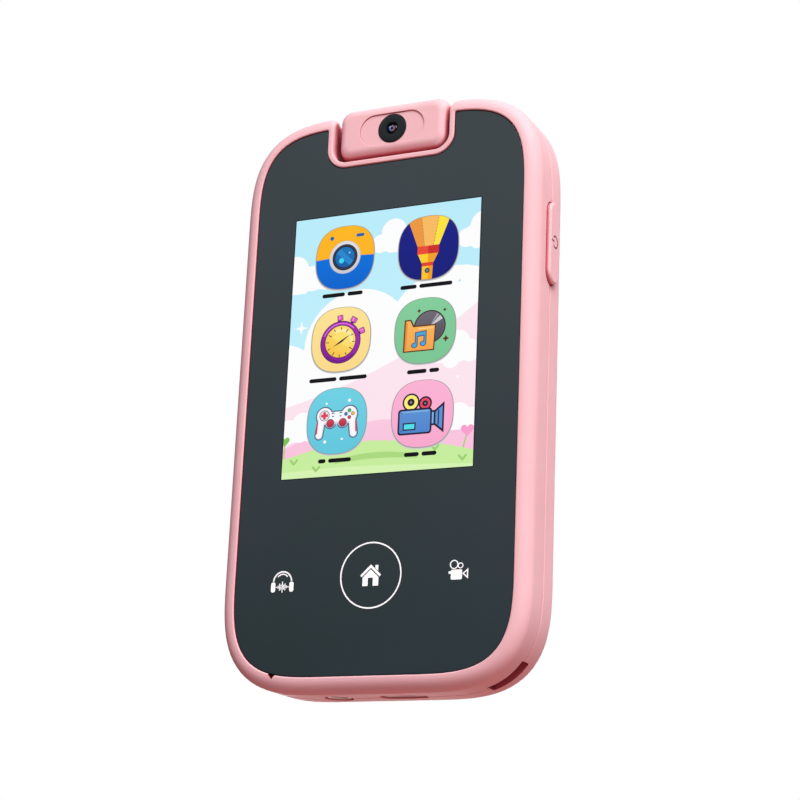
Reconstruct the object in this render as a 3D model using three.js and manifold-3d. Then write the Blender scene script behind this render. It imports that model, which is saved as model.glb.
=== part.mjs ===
// Toy phone with a camera head that turns over in a notch at its top.
// Millimetres. +Z runs up the phone, the screen faces -Y, and +X is the viewer's right.
// The origin is the middle of the flat bottom face.

import * as THREE from "three";
import { mergeVertices } from "three/addons/utils/BufferGeometryUtils.js";
import Module from "manifold-3d";

const wasm = await Module();
wasm.setup();

// ---------- driving dimensions ----------

const GAP = 0.3; // between pieces that meet
const CORNER_STEPS = 9; // straight steps along each corner of the phone's outline
const ARC_STEPS = 3; // half the straight steps along an arc of any other outline
const ROUND_STEPS = 4; // straight steps across a rounded edge
const ROD_SIDES = 16;

const BODY = { halfWidth: 34.3, height: 126.1, halfDepth: 8 };
// How far a panel corner bends along each side, and how squarely.
const CORNER = { reach: 21.8, power: 3.6 };
const EDGE_ROUND = { front: 3, rear: 3.6 };
const WALL = 1.6;

const PANEL = { margin: 3.4, sunk: 0.3, thickness: 1.1 };
const TAPE = { thickness: 0.4, width: 2.2 };
const LEDGE_FRONT = -5.8; // face that the panel's tape sticks to
const LEDGE_THICKNESS = 1;

const SCREEN = { halfWidth: 21.6, halfHeight: 28.8, middle: 73.5 }; // the lit part of the display
const DISPLAY = {
  halfWidth: SCREEN.halfWidth + 3.4,
  top: SCREEN.middle + SCREEN.halfHeight + 3,
  bottom: SCREEN.middle - SCREEN.halfHeight - 8.6,
  cell: [-6.3, -5.1],
  backlight: [-4.9, -3.2],
};

const NOTCH = { halfWidth: 13.75, floor: 114.55, corner: 3.4, rim: 1.2, mouthRound: 1.4 };
const HEAD = { halfWidth: 12.8, halfHeight: 5.85, halfDepth: 7.4, corner: 2.6, round: 2, wall: 1.2 };
const PIVOT_HEIGHT = 121.25;
const TROUGH_RADIUS = 9.1; // clears the head as it turns over
const RECESS = { halfLength: 7.6, halfHeight: 3.55, depth: 0.35 };
const LENS = { discRadius: 3.2, glassRadius: 1.3, clearance: 0.12 };
const PIN = {
  radius: 2.2,
  bore: 1.2,
  tip: 17.6,
  collarRadius: 3.3,
  collar: 1,
  innerEnd: 10.6,
  pocket: 4.1,
};

const BUTTON = {
  middle: 93.2,
  halfLength: 8.9,
  halfWidth: 2.6,
  stand: 0.95,
  flangeExtra: 1.1,
  flange: [31.6, 32.4],
};
const SWITCH = { inner: 27.4, outer: 30.6, halfLength: 3, halfDepth: 1.7, plungerRadius: 0.8 };

const JACK = { x: -9.45, opening: 3, sleeveRadius: 2.5, bore: 1.75, depth: 12.4, recess: 0.2 };
const USB = {
  x: 5.05,
  openingHalf: [5.2, 2.1],
  shellHalf: [4.47, 1.63],
  sheet: 0.35,
  depth: 7.4,
  recess: 0.3,
};
const STRAP_SLOT = {
  middle: [27.2, 3.8],
  tilt: 35,
  halfLength: 4.4,
  front: -1.5,
  back: 2.1,
  depth: 5.6,
  block: 7.4,
};
const POST_INSET = 3.2;
const POST_RADIUS = 1;
// The edge is where the panel's bed ends at the notch.
const PRY_NOTCH = { x: -21.1, edge: 3.9, halfWidth: 0.8, depth: 0.9, back: -6.8 };

const BOARD = {
  front: -2.9,
  back: -1.9,
  halfWidth: 30,
  bottom: 19,
  top: 106,
  tongueHalf: 15.5,
  tongueBottom: 3,
};
const BATTERY = { halfWidth: 18, bottom: 38, top: 92, front: 0.9, back: 5.9 };
const SPEAKER = { x: -13, z: 24, radius: 9, front: 1.2, back: 5.8 };
const SCREW = { x: 27, low: 14, high: 113, headRadius: 2.2, headHeight: 1.4, shankRadius: 1, tip: -3.4 };
const BOSS = { radius: 2.7, hole: 1.3, seat: 5.6, front: -0.6, rear: 0.6 };

// ---------- solids ----------

const DIRECTIONS = {
  x: { across: new THREE.Vector3(0, 1, 0), up: new THREE.Vector3(0, 0, 1) },
  y: { across: new THREE.Vector3(1, 0, 0), up: new THREE.Vector3(0, 0, 1) },
  z: { across: new THREE.Vector3(1, 0, 0), up: new THREE.Vector3(0, 1, 0) },
};

// A closed geometry as a solid that can be joined and cut.
function solidOf(geometry) {
  geometry.deleteAttribute("normal");
  geometry.deleteAttribute("uv");
  const merged = mergeVertices(geometry);
  return new wasm.Manifold(
    new wasm.Mesh({
      numProp: 3,
      vertProperties: merged.attributes.position.array,
      triVerts: Uint32Array.from(merged.index.array),
    }),
  );
}

function geometryOf(solid) {
  const mesh = solid.getMesh();
  const geometry = new THREE.BufferGeometry();
  geometry.setAttribute("position", new THREE.BufferAttribute(mesh.vertProperties, 3));
  geometry.setIndex(new THREE.BufferAttribute(mesh.triVerts, 1));
  geometry.computeVertexNormals();
  return geometry;
}

// An outline thickened along one axis, with its two rims rounded when asked.
// The outline's own x and y lie along the axis's "across" and "up" directions.
function slab(outline, axis, low, high, round = 0) {
  const { across, up } = DIRECTIONS[axis];
  const out = across.clone().cross(up);
  const start = out.y < 0 ? -high : low;
  const geometry = new THREE.ExtrudeGeometry(outline, {
    depth: high - low - 2 * round,
    bevelEnabled: round > 0,
    bevelThickness: round,
    bevelSize: round,
    bevelOffset: -round,
    bevelSegments: ROUND_STEPS,
    curveSegments: ARC_STEPS,
  });
  geometry.translate(0, 0, start + round);
  geometry.applyMatrix4(new THREE.Matrix4().makeBasis(across, up, out));
  return solidOf(geometry);
}

function block([x0, y0, z0], [x1, y1, z1]) {
  const geometry = new THREE.BoxGeometry(x1 - x0, y1 - y0, z1 - z0);
  geometry.translate((x0 + x1) / 2, (y0 + y1) / 2, (z0 + z1) / 2);
  return solidOf(geometry);
}

// A round bar between two points.
function rod(radius, from, to, sides = ROD_SIDES) {
  const start = new THREE.Vector3(...from);
  const run = new THREE.Vector3(...to).sub(start);
  const geometry = new THREE.CylinderGeometry(radius, radius, run.length(), sides);
  geometry.translate(0, run.length() / 2, 0);
  geometry.applyQuaternion(
    new THREE.Quaternion().setFromUnitVectors(new THREE.Vector3(0, 1, 0), run.clone().normalize()),
  );
  geometry.translate(...from);
  return solidOf(geometry);
}

// A wire along a smooth curve through hand-placed points.
function wire(radius, points) {
  const curve = new THREE.CatmullRomCurve3(points.map((point) => new THREE.Vector3(...point)));
  const section = new THREE.Shape();
  section.absarc(0, 0, radius, 0, 2 * Math.PI, false);
  const geometry = new THREE.ExtrudeGeometry(section, { steps: 16, curveSegments: 4, extrudePath: curve });
  return solidOf(geometry);
}

// Turns a profile of [radius, distance along X] points round the head's pivot.
// The profile starts and ends on the pivot, or ends where it starts.
function turnedOnPivot(profile, sides = ROD_SIDES) {
  const points = profile.map(([radius, along]) => new THREE.Vector2(radius, along));
  const geometry = new THREE.LatheGeometry(points, sides);
  geometry.rotateZ(-Math.PI / 2);
  geometry.translate(0, 0, PIVOT_HEIGHT);
  return solidOf(geometry);
}

// ---------- outlines ----------

// An outline of the phone, drawn in from its outer edge.
// The panel's corners bend gradually, and every other outline runs at one distance from the panel's.
function bodyOutline(inset) {
  const { reach, power } = CORNER;
  const middleX = BODY.halfWidth - PANEL.margin - reach;
  const lowZ = PANEL.margin + reach;
  const highZ = BODY.height - PANEL.margin - reach;
  const points = [];
  for (const [signX, signZ] of [[1, 1], [-1, 1], [-1, -1], [1, -1]]) {
    for (let step = 0; step <= CORNER_STEPS; step += 1) {
      const share = signX * signZ > 0 ? step / CORNER_STEPS : 1 - step / CORNER_STEPS;
      const angle = (share * Math.PI) / 2;
      const toEdge = new THREE.Vector2(Math.cos(angle), Math.sin(angle));
      const squareness = (toEdge.x ** power + toEdge.y ** power) ** (-1 / power);
      const outward = new THREE.Vector2(toEdge.x ** (power - 1), toEdge.y ** (power - 1)).normalize();
      const bend = toEdge.multiplyScalar(reach * squareness).addScaledVector(outward, PANEL.margin - inset);
      points.push(new THREE.Vector2(signX * (middleX + bend.x), signZ > 0 ? highZ + bend.y : lowZ - bend.y));
    }
  }
  return new THREE.Shape(points);
}

function roundedRectangle(halfWidth, low, high, radius) {
  const shape = new THREE.Shape();
  shape.absarc(halfWidth - radius, low + radius, radius, -Math.PI / 2, 0, false);
  shape.absarc(halfWidth - radius, high - radius, radius, 0, Math.PI / 2, false);
  shape.absarc(radius - halfWidth, high - radius, radius, Math.PI / 2, Math.PI, false);
  shape.absarc(radius - halfWidth, low + radius, radius, Math.PI, 1.5 * Math.PI, false);
  return shape;
}

// A stadium lying along its first coordinate, or standing along its second.
function stadium(halfLength, halfWidth, x, y, upright = false) {
  const shape = new THREE.Shape();
  const reach = halfLength - halfWidth;
  if (upright) {
    shape.absarc(x, y + reach, halfWidth, 0, Math.PI, false);
    shape.absarc(x, y - reach, halfWidth, Math.PI, 2 * Math.PI, false);
  } else {
    shape.absarc(x + reach, y, halfWidth, -Math.PI / 2, Math.PI / 2, false);
    shape.absarc(x - reach, y, halfWidth, Math.PI / 2, 1.5 * Math.PI, false);
  }
  return shape;
}

// The U of the notch, grown outwards, with its floor's corners rounded.
function notchOutline(grow) {
  const halfWidth = NOTCH.halfWidth + grow;
  const floor = NOTCH.floor - grow;
  const radius = NOTCH.corner + grow;
  const top = BODY.height + 4;
  const shape = new THREE.Shape();
  shape.moveTo(-halfWidth, top);
  shape.lineTo(-halfWidth, floor + radius);
  shape.absarc(radius - halfWidth, floor + radius, radius, Math.PI, 1.5 * Math.PI, false);
  shape.absarc(halfWidth - radius, floor + radius, radius, 1.5 * Math.PI, 2 * Math.PI, false);
  shape.lineTo(halfWidth, top);
  return shape;
}

// What rounds the two upper corners where the notch meets the top of the phone.
function mouthCorner(sign) {
  const { halfWidth, mouthRound } = NOTCH;
  const shape = new THREE.Shape();
  shape.moveTo(sign * (halfWidth - 0.5), BODY.height + 1);
  shape.lineTo(sign * (halfWidth - 0.5), BODY.height - mouthRound);
  for (let step = 0; step <= ROUND_STEPS; step += 1) {
    const angle = (step / ROUND_STEPS) * (Math.PI / 2);
    const x = halfWidth + mouthRound * (1 - Math.cos(angle));
    shape.lineTo(sign * x, BODY.height - mouthRound * (1 - Math.sin(angle)));
  }
  shape.lineTo(sign * (halfWidth + mouthRound), BODY.height + 1);
  return shape;
}

// ---------- spaces and features shared by the two shells ----------

const FAR = 200; // reaches past everything

// The round trough that the head turns in, with rounded ends.
function trough(grow) {
  const radius = TROUGH_RADIUS + grow;
  const halfLength = NOTCH.halfWidth + grow;
  const corner = NOTCH.corner + grow;
  const rightEnd = [];
  for (let step = 0; step <= ROUND_STEPS; step += 1) {
    const angle = (step / ROUND_STEPS) * (Math.PI / 2);
    rightEnd.push([radius - corner * (1 - Math.cos(angle)), halfLength - corner * (1 - Math.sin(angle))]);
  }
  const leftEnd = rightEnd.map(([distance, along]) => [distance, -along]).reverse();
  return turnedOnPivot([[0, -halfLength], ...leftEnd, ...rightEnd, [0, halfLength]], 2 * ROD_SIDES);
}

function notchSpace() {
  const depth = BODY.halfDepth + 1;
  let space = slab(notchOutline(0), "y", -depth, depth).add(trough(0));
  for (const sign of [-1, 1]) {
    space = space.add(slab(mouthCorner(sign), "y", -depth, depth));
  }
  const wallEnd = NOTCH.halfWidth + NOTCH.rim;
  for (const sign of [-1, 1]) {
    const along = (x) => [sign * x, 0, PIVOT_HEIGHT];
    space = space.add(rod(PIN.radius + GAP, along(NOTCH.halfWidth - 1), along(wallEnd + 1)));
    space = space.add(rod(PIN.pocket, along(wallEnd), along(PIN.tip + GAP)));
  }
  return space;
}

function notchWall() {
  const wall = slab(notchOutline(NOTCH.rim), "y", -BODY.halfDepth, BODY.halfDepth);
  return wall.add(trough(NOTCH.rim));
}

function portSpaces() {
  const jack = rod(JACK.opening, [JACK.x, 0, -1], [JACK.x, 0, WALL + 1]);
  const jackPocket = block([JACK.x - 3.6, -2.9, WALL - 0.5], [JACK.x + 3.6, 2.9, WALL + 3]);
  const usb = slab(stadium(...USB.openingHalf, USB.x, 0), "z", -1, WALL + 1);
  const usbPocket = block([USB.x - 5, -2.2, WALL - 0.5], [USB.x + 5, 2.2, WALL + 3]);
  return jack.add(jackPocket).add(usb).add(usbPocket);
}

function buttonSpace() {
  const { middle, halfLength, halfWidth, flangeExtra, flange } = BUTTON;
  const hole = stadium(halfLength + GAP, halfWidth + GAP, 0, middle, true);
  const pocket = stadium(halfLength + flangeExtra + 0.4, halfWidth + flangeExtra + 0.4, 0, middle, true);
  const opening = slab(hole, "x", flange[0], BODY.halfWidth + 2);
  return opening.add(slab(pocket, "x", flange[0] - 1, flange[1] + GAP));
}

// The strap pocket is laid out along X, then turned into line with the corner.
function alongCorner(halfLength, outer, inner, low, high) {
  const [x, z] = STRAP_SLOT.middle;
  const geometry = new THREE.BoxGeometry(2 * halfLength, high - low, outer + inner);
  geometry.translate(0, (low + high) / 2, (inner - outer) / 2);
  geometry.rotateY(THREE.MathUtils.degToRad(-STRAP_SLOT.tilt));
  geometry.translate(x, 0, z);
  return solidOf(geometry);
}

function postAxis() {
  const [x, z] = STRAP_SLOT.middle;
  const tilt = THREE.MathUtils.degToRad(STRAP_SLOT.tilt);
  return [x - POST_INSET * Math.sin(tilt), z + POST_INSET * Math.cos(tilt)];
}

function strapSlot() {
  const { halfLength, depth, front, back } = STRAP_SLOT;
  return alongCorner(halfLength, 4, depth, front, back);
}

function postHole() {
  const [x, z] = postAxis();
  return rod(POST_RADIUS + GAP, [x, -5.4, z], [x, 3.4, z]);
}

function screwPlaces() {
  const places = {};
  for (const [level, z] of [["bottom", SCREW.low], ["top", SCREW.high]]) {
    for (const [side, sign] of [["left", -1], ["right", 1]]) {
      places[`screw_${level}_${side}`] = [sign * SCREW.x, z];
    }
  }
  return places;
}

// A V in the front edge, where a blade lifts the panel out.
function pryNotch() {
  const { x, edge, halfWidth, depth, back } = PRY_NOTCH;
  const vee = new THREE.Shape();
  vee.moveTo(x - halfWidth, edge);
  vee.lineTo(x, edge - depth);
  vee.lineTo(x + halfWidth, edge);
  vee.lineTo(x + halfWidth, edge + 0.6);
  vee.lineTo(x - halfWidth, edge + 0.6);
  return slab(vee, "y", -BODY.halfDepth - 1, back);
}

// ---------- housings ----------

function shellHalf(low, high, round) {
  const longEnough = BODY.halfDepth * 3;
  const front = low < 0;
  const start = front ? low : high - longEnough;
  const whole = slab(bodyOutline(0), "y", start, start + longEnough, round);
  return whole.intersect(block([-FAR, low, -FAR], [FAR, high, FAR]));
}

// Solid plastic round the strap slot.
function strapBlock(low, high) {
  return alongCorner(STRAP_SLOT.block, FAR, STRAP_SLOT.block, low, high);
}

function frontShell() {
  const parting = -GAP / 2;
  const outer = shellHalf(-BODY.halfDepth, parting, EDGE_ROUND.front);
  const cavity = slab(bodyOutline(WALL), "y", LEDGE_FRONT + LEDGE_THICKNESS, 1);
  const panelBed = slab(bodyOutline(PANEL.margin - GAP), "y", -BODY.halfDepth - 1, LEDGE_FRONT);
  const window = block(
    [-DISPLAY.halfWidth - GAP, LEDGE_FRONT - 1, DISPLAY.bottom - GAP],
    [DISPLAY.halfWidth + GAP, 0, DISPLAY.top + GAP],
  );
  const corner = strapBlock(LEDGE_FRONT, parting).intersect(outer);
  const flexGap = block([-9, LEDGE_FRONT - 1, DISPLAY.bottom - 9], [9, 0, DISPLAY.bottom]);
  let shell = outer.subtract(cavity).subtract(panelBed).subtract(window).subtract(flexGap);
  shell = shell.add(notchWall().intersect(outer)).add(corner);
  for (const [x, z] of Object.values(screwPlaces())) {
    shell = shell.add(rod(BOSS.radius, [x, LEDGE_FRONT + 0.5, z], [x, BOSS.front, z]));
    shell = shell.subtract(rod(BOSS.hole, [x, SCREW.tip - GAP, z], [x, 1, z]));
  }
  return shell
    .subtract(notchSpace())
    .subtract(portSpaces())
    .subtract(buttonSpace())
    .subtract(strapSlot())
    .subtract(postHole())
    .subtract(pryNotch());
}

// Upright slots over the speaker, shorter towards its edge.
function speakerSlots() {
  const pitch = 3.2;
  const slots = [-2, -1, 0, 1, 2].map((index) => {
    const halfLength = Math.sqrt((SPEAKER.radius - 1.5) ** 2 - (index * pitch) ** 2);
    return slab(stadium(halfLength, 0.7, SPEAKER.x + index * pitch, SPEAKER.z, true), "y", 5, 9);
  });
  return slots.reduce((all, slot) => all.add(slot));
}

function rearShell() {
  const parting = GAP / 2;
  const lipFront = -1.2;
  const lipBack = 1.6;
  const lipInset = WALL + GAP;
  const lipWidth = 0.9;
  const outer = shellHalf(parting, BODY.halfDepth, EDGE_ROUND.rear);
  const cavity = slab(bodyOutline(WALL), "y", lipBack, BODY.halfDepth - WALL);
  const mouth = slab(bodyOutline(lipInset + lipWidth), "y", lipFront - 1, lipBack + 0.1);
  const lip = slab(bodyOutline(lipInset), "y", lipFront, parting + 0.1);
  const corner = strapBlock(parting, BODY.halfDepth - 1).intersect(outer);
  const nearNotch = NOTCH.halfWidth + 4;
  const lipNearNotch = block([-nearNotch, -3, NOTCH.floor - 6], [nearNotch, parting, FAR]);
  const lipNearPocket = alongCorner(STRAP_SLOT.block + GAP, FAR, STRAP_SLOT.block + GAP, -3, parting);
  let shell = outer.subtract(cavity).add(lip).subtract(mouth);
  shell = shell.subtract(lipNearNotch).subtract(lipNearPocket);
  shell = shell.add(notchWall().intersect(outer)).add(corner);
  const ribFront = BATTERY.front + 1.6;
  const ribBack = BODY.halfDepth - 1;
  for (const sign of [-1, 1]) {
    const side = sign * (BATTERY.halfWidth + GAP + 0.5);
    shell = shell.add(block([side - 0.5, ribFront, BATTERY.bottom], [side + 0.5, ribBack, BATTERY.top]));
  }
  for (const z of [BATTERY.bottom - GAP - 0.5, BATTERY.top + GAP + 0.5]) {
    const half = BATTERY.halfWidth;
    shell = shell.add(block([-half, ribFront, z - 0.5], [half, ribBack, z + 0.5]));
  }
  for (const [x, z] of Object.values(screwPlaces())) {
    shell = shell.add(rod(BOSS.radius + 0.6, [x, BOSS.rear, z], [x, BODY.halfDepth - 0.5, z]));
    shell = shell.subtract(rod(BOSS.hole, [x, -1, z], [x, 9, z]));
    shell = shell.subtract(rod(SCREW.headRadius + GAP, [x, BOSS.seat, z], [x, 9, z]));
  }
  return shell
    .subtract(notchSpace())
    .subtract(portSpaces())
    .subtract(buttonSpace())
    .subtract(strapSlot())
    .subtract(postHole())
    .subtract(speakerSlots());
}

function touchPanel() {
  const front = -BODY.halfDepth + PANEL.sunk;
  const plate = slab(bodyOutline(PANEL.margin), "y", front, front + PANEL.thickness);
  return plate.subtract(slab(notchOutline(NOTCH.rim + GAP), "y", -FAR, 0));
}

function panelTape() {
  const front = LEDGE_FRONT - 0.1 - TAPE.thickness;
  const outer = slab(bodyOutline(PANEL.margin + GAP), "y", front, front + TAPE.thickness);
  const inside = block(
    [-DISPLAY.halfWidth - GAP, -FAR, DISPLAY.bottom - TAPE.width],
    [DISPLAY.halfWidth + GAP, 0, DISPLAY.top + GAP],
  );
  const keys = block([-DISPLAY.halfWidth, -FAR, 15], [DISPLAY.halfWidth, 0, DISPLAY.bottom - TAPE.width]);
  const notch = slab(notchOutline(NOTCH.rim + 2 * GAP), "y", -FAR, 0);
  return outer.subtract(notch).subtract(inside).subtract(keys);
}

// ---------- display and electronics ----------

function lcdCell() {
  const [front, back] = DISPLAY.cell;
  return block([-DISPLAY.halfWidth, front, DISPLAY.bottom], [DISPLAY.halfWidth, back, DISPLAY.top]);
}

function backlightFrame() {
  const [front, back] = DISPLAY.backlight;
  const outline = roundedRectangle(DISPLAY.halfWidth, DISPLAY.bottom + 2, DISPLAY.top, 0.8);
  const foot = block([-8, front, DISPLAY.bottom], [8, back - 0.8, DISPLAY.bottom + 3]);
  return slab(outline, "y", front, back).add(foot);
}

function lcdFlex() {
  const strip = new THREE.Shape();
  const start = DISPLAY.bottom - GAP;
  strip.moveTo(-5.4, start);
  strip.bezierCurveTo(-5.4, start - 3, -3.3, start - 3, -3.3, start - 6);
  strip.lineTo(-3.3, start - 8);
  strip.lineTo(-3.1, start - 8);
  strip.lineTo(-3.1, start - 6);
  strip.bezierCurveTo(-3.1, start - 2.8, -5.2, start - 2.8, -5.2, start);
  return slab(strip, "x", -8, 8);
}

function touchKeyBoard() {
  const outline = roundedRectangle(24, 16, 31, 1.5);
  const front = -BODY.halfDepth + PANEL.sunk + PANEL.thickness + 0.1;
  return slab(outline, "y", front, front + 0.5);
}

function mainBoard() {
  const { front, back, halfWidth, bottom, top, tongueHalf, tongueBottom } = BOARD;
  const main = slab(roundedRectangle(halfWidth, bottom, top, 2), "y", front, back);
  const tongue = block([-tongueHalf, front, tongueBottom], [tongueHalf, back, bottom + 1]);
  const jackCut = block([JACK.x - 3.7, -FAR, 0], [JACK.x + 3.7, 0, JACK.recess + JACK.depth + GAP]);
  return main.add(tongue).subtract(jackCut);
}

function chip(x, z, halfSize, height) {
  const back = BOARD.back + 0.1;
  return block([x - halfSize, back, z - halfSize], [x + halfSize, back + height, z + halfSize]);
}

function battery() {
  const { halfWidth, bottom, top, front, back } = BATTERY;
  return slab(roundedRectangle(halfWidth, bottom, top, 2.5), "y", front, back);
}

function speaker() {
  const { x, z, radius, front, back } = SPEAKER;
  const basket = rod(radius, [x, front + 1, z], [x, back, z]);
  const magnet = rod(radius * 0.55, [x, front, z], [x, front + 1.1, z]);
  return basket.add(magnet).subtract(rod(radius - 1.2, [x, back - 0.6, z], [x, back + 1, z]));
}

function headphoneJackBody() {
  const low = JACK.recess + 1.6;
  const high = JACK.recess + JACK.depth;
  const housing = block([JACK.x - 3.2, -2.5, low], [JACK.x + 3.2, 2.5, high]);
  const bore = rod(JACK.bore, [JACK.x, 0, 0], [JACK.x, 0, high - 1.2]);
  return housing.subtract(bore);
}

function headphoneJackSleeve() {
  const low = JACK.recess;
  const tube = rod(JACK.sleeveRadius, [JACK.x, 0, low], [JACK.x, 0, low + 1.4]);
  return tube.subtract(rod(JACK.bore, [JACK.x, 0, 0], [JACK.x, 0, 4]));
}

function usbShell() {
  const [halfLength, halfWidth] = USB.shellHalf;
  const low = USB.recess;
  const high = low + USB.depth;
  const tube = slab(stadium(halfLength, halfWidth, USB.x, 0), "z", low, high);
  const inside = stadium(halfLength - USB.sheet, halfWidth - USB.sheet, USB.x, 0);
  return tube.subtract(slab(inside, "z", low - 1, high - USB.sheet));
}

function usbTongue() {
  const low = USB.recess + 1;
  const high = USB.recess + USB.depth - USB.sheet - 0.1;
  const blade = block([USB.x - 3, -0.4, low], [USB.x + 3, 0.4, high]);
  return blade.add(block([USB.x - 3, -1.1, high - 1.2], [USB.x + 3, 1.1, high]));
}

// ---------- side button ----------

function powerButton() {
  const { middle, halfLength, halfWidth, stand, flangeExtra, flange } = BUTTON;
  const face = BODY.halfWidth + stand;
  const round = 0.5;
  const cap = slab(stadium(halfLength, halfWidth, 0, middle, true), "x", flange[0], face, round);
  const outline = stadium(halfLength + flangeExtra, halfWidth + flangeExtra - 0.3, 0, middle, true);
  return cap.add(slab(outline, "x", ...flange));
}

function switchPlunger() {
  const z = BUTTON.middle;
  return rod(SWITCH.plungerRadius, [SWITCH.outer - 1, 0, z], [BUTTON.flange[0] - 0.1, 0, z], 16);
}

function powerSwitch() {
  const { inner, outer, halfLength, halfDepth, plungerRadius } = SWITCH;
  const z = BUTTON.middle;
  const housing = block([inner, -halfDepth, z - halfLength], [outer, halfDepth, z + halfLength]);
  return housing.subtract(rod(plungerRadius + GAP, [outer - 2, 0, z], [outer + 1, 0, z], 16));
}

// ---------- camera head ----------

function headBlock(inset, round) {
  const { halfWidth, halfHeight, halfDepth, corner } = HEAD;
  const outline = roundedRectangle(
    halfWidth - inset,
    PIVOT_HEIGHT - halfHeight + inset,
    PIVOT_HEIGHT + halfHeight - inset,
    corner - inset,
  );
  return slab(outline, "y", inset - halfDepth, halfDepth - inset, round);
}

function hollowHead() {
  const pinHole = rod(PIN.radius + GAP, [-FAR, 0, PIVOT_HEIGHT], [FAR, 0, PIVOT_HEIGHT]);
  return headBlock(0, HEAD.round).subtract(headBlock(HEAD.wall, 0.8)).subtract(pinHole);
}

function headFront() {
  const front = hollowHead().intersect(block([-FAR, -FAR, 0], [FAR, -GAP / 2, FAR]));
  const recess = stadium(RECESS.halfLength, RECESS.halfHeight, 0, PIVOT_HEIGHT);
  const lensHole = rod(LENS.discRadius + LENS.clearance, [0, -FAR, PIVOT_HEIGHT], [0, 0, PIVOT_HEIGHT]);
  return front.subtract(slab(recess, "y", -FAR, RECESS.depth - HEAD.halfDepth)).subtract(lensHole);
}

function headRear() {
  return hollowHead().intersect(block([-FAR, GAP / 2, 0], [FAR, FAR, FAR]));
}

function lensBezel() {
  const front = 0.1 - HEAD.halfDepth;
  const disc = rod(LENS.discRadius, [0, front, PIVOT_HEIGHT], [0, front + 1.1, PIVOT_HEIGHT]);
  return disc.subtract(rod(LENS.glassRadius + LENS.clearance, [0, -FAR, PIVOT_HEIGHT], [0, 0, PIVOT_HEIGHT]));
}

// A small dome, turned round Y and set looking forwards.
function lensGlass() {
  const points = [new THREE.Vector2(0, -0.4), new THREE.Vector2(LENS.glassRadius, -0.4)];
  for (let step = 0; step <= ROUND_STEPS; step += 1) {
    const angle = (step / ROUND_STEPS) * (Math.PI / 2);
    points.push(new THREE.Vector2(LENS.glassRadius * Math.cos(angle), 0.4 * Math.sin(angle)));
  }
  points[points.length - 1].x = 0;
  const geometry = new THREE.LatheGeometry(points, ROD_SIDES);
  geometry.rotateZ(Math.PI);
  geometry.translate(0, -HEAD.halfDepth + 0.7, PIVOT_HEIGHT);
  return solidOf(geometry);
}

function lensBarrel() {
  return rod(2.6, [0, -6, PIVOT_HEIGHT], [0, -3.6, PIVOT_HEIGHT]);
}

function cameraModule() {
  const half = 4.1;
  return block([-half, -3.5, PIVOT_HEIGHT - half], [half, -1.4, PIVOT_HEIGHT + half]);
}

function hingePin(sign, bore) {
  const at = (x) => [sign * x, 0, PIVOT_HEIGHT];
  let pin = rod(PIN.radius, at(PIN.innerEnd), at(PIN.tip));
  pin = pin.add(rod(PIN.collarRadius, at(PIN.tip - PIN.collar), at(PIN.tip)));
  pin = pin.add(rod(PIN.collarRadius, at(PIN.innerEnd), at(HEAD.halfWidth - HEAD.wall - 0.2)));
  return bore > 0 ? pin.subtract(rod(bore, at(0), at(PIN.tip + 1))) : pin;
}

// A coned washer that presses on the notch wall and holds the head where it is put.
function hingeWasher() {
  const inner = PIN.radius + GAP;
  const start = NOTCH.halfWidth + NOTCH.rim + 0.3;
  const outer = inner + 1.3;
  const section = [
    [inner, start],
    [outer, start + 0.6],
    [outer, start + 1],
    [inner, start + 0.4],
    [inner, start],
  ];
  return turnedOnPivot(section);
}

// ---------- fasteners ----------

function screw(x, z) {
  const seat = BOSS.seat + 0.1;
  const head = rod(SCREW.headRadius, [x, seat, z], [x, seat + SCREW.headHeight, z]);
  const shank = rod(SCREW.shankRadius, [x, SCREW.tip, z], [x, seat + 0.1, z], 12);
  let body = head.add(shank);
  for (const [halfX, halfZ] of [[1.2, 0.3], [0.3, 1.2]]) {
    body = body.subtract(block([x - halfX, seat + 0.6, z - halfZ], [x + halfX, 9, z + halfZ]));
  }
  return body;
}

function lanyardPost() {
  const [x, z] = postAxis();
  return rod(POST_RADIUS, [x, -5.1, z], [x, 3.1, z], 16);
}

// ---------- assembly ----------

const FINISHES = {
  pinkPlastic: { color: 0xf0bec4, roughness: 0.45, metalness: 0 },
  panelGlass: { color: 0x394249, roughness: 0.2, metalness: 0 },
  blackPlastic: { color: 0x1c1d20, roughness: 0.5, metalness: 0 },
  screenGlass: { color: 0x9fd8ee, roughness: 0.2, metalness: 0 },
  steel: { color: 0xb9bcc0, roughness: 0.3, metalness: 1 },
  lensGlass: { color: 0x10131f, roughness: 0.05, metalness: 0 },
  board: { color: 0x1f6b45, roughness: 0.6, metalness: 0 },
  foil: { color: 0xc9ccd2, roughness: 0.35, metalness: 0.6 },
  flex: { color: 0xb5702a, roughness: 0.5, metalness: 0 },
  wire: { color: 0xa03030, roughness: 0.6, metalness: 0 },
};

const phone = new THREE.Group();

function addPiece(name, solid, finish) {
  const mesh = new THREE.Mesh(geometryOf(solid), new THREE.MeshStandardMaterial(FINISHES[finish]));
  mesh.name = name;
  phone.add(mesh);
}

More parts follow.
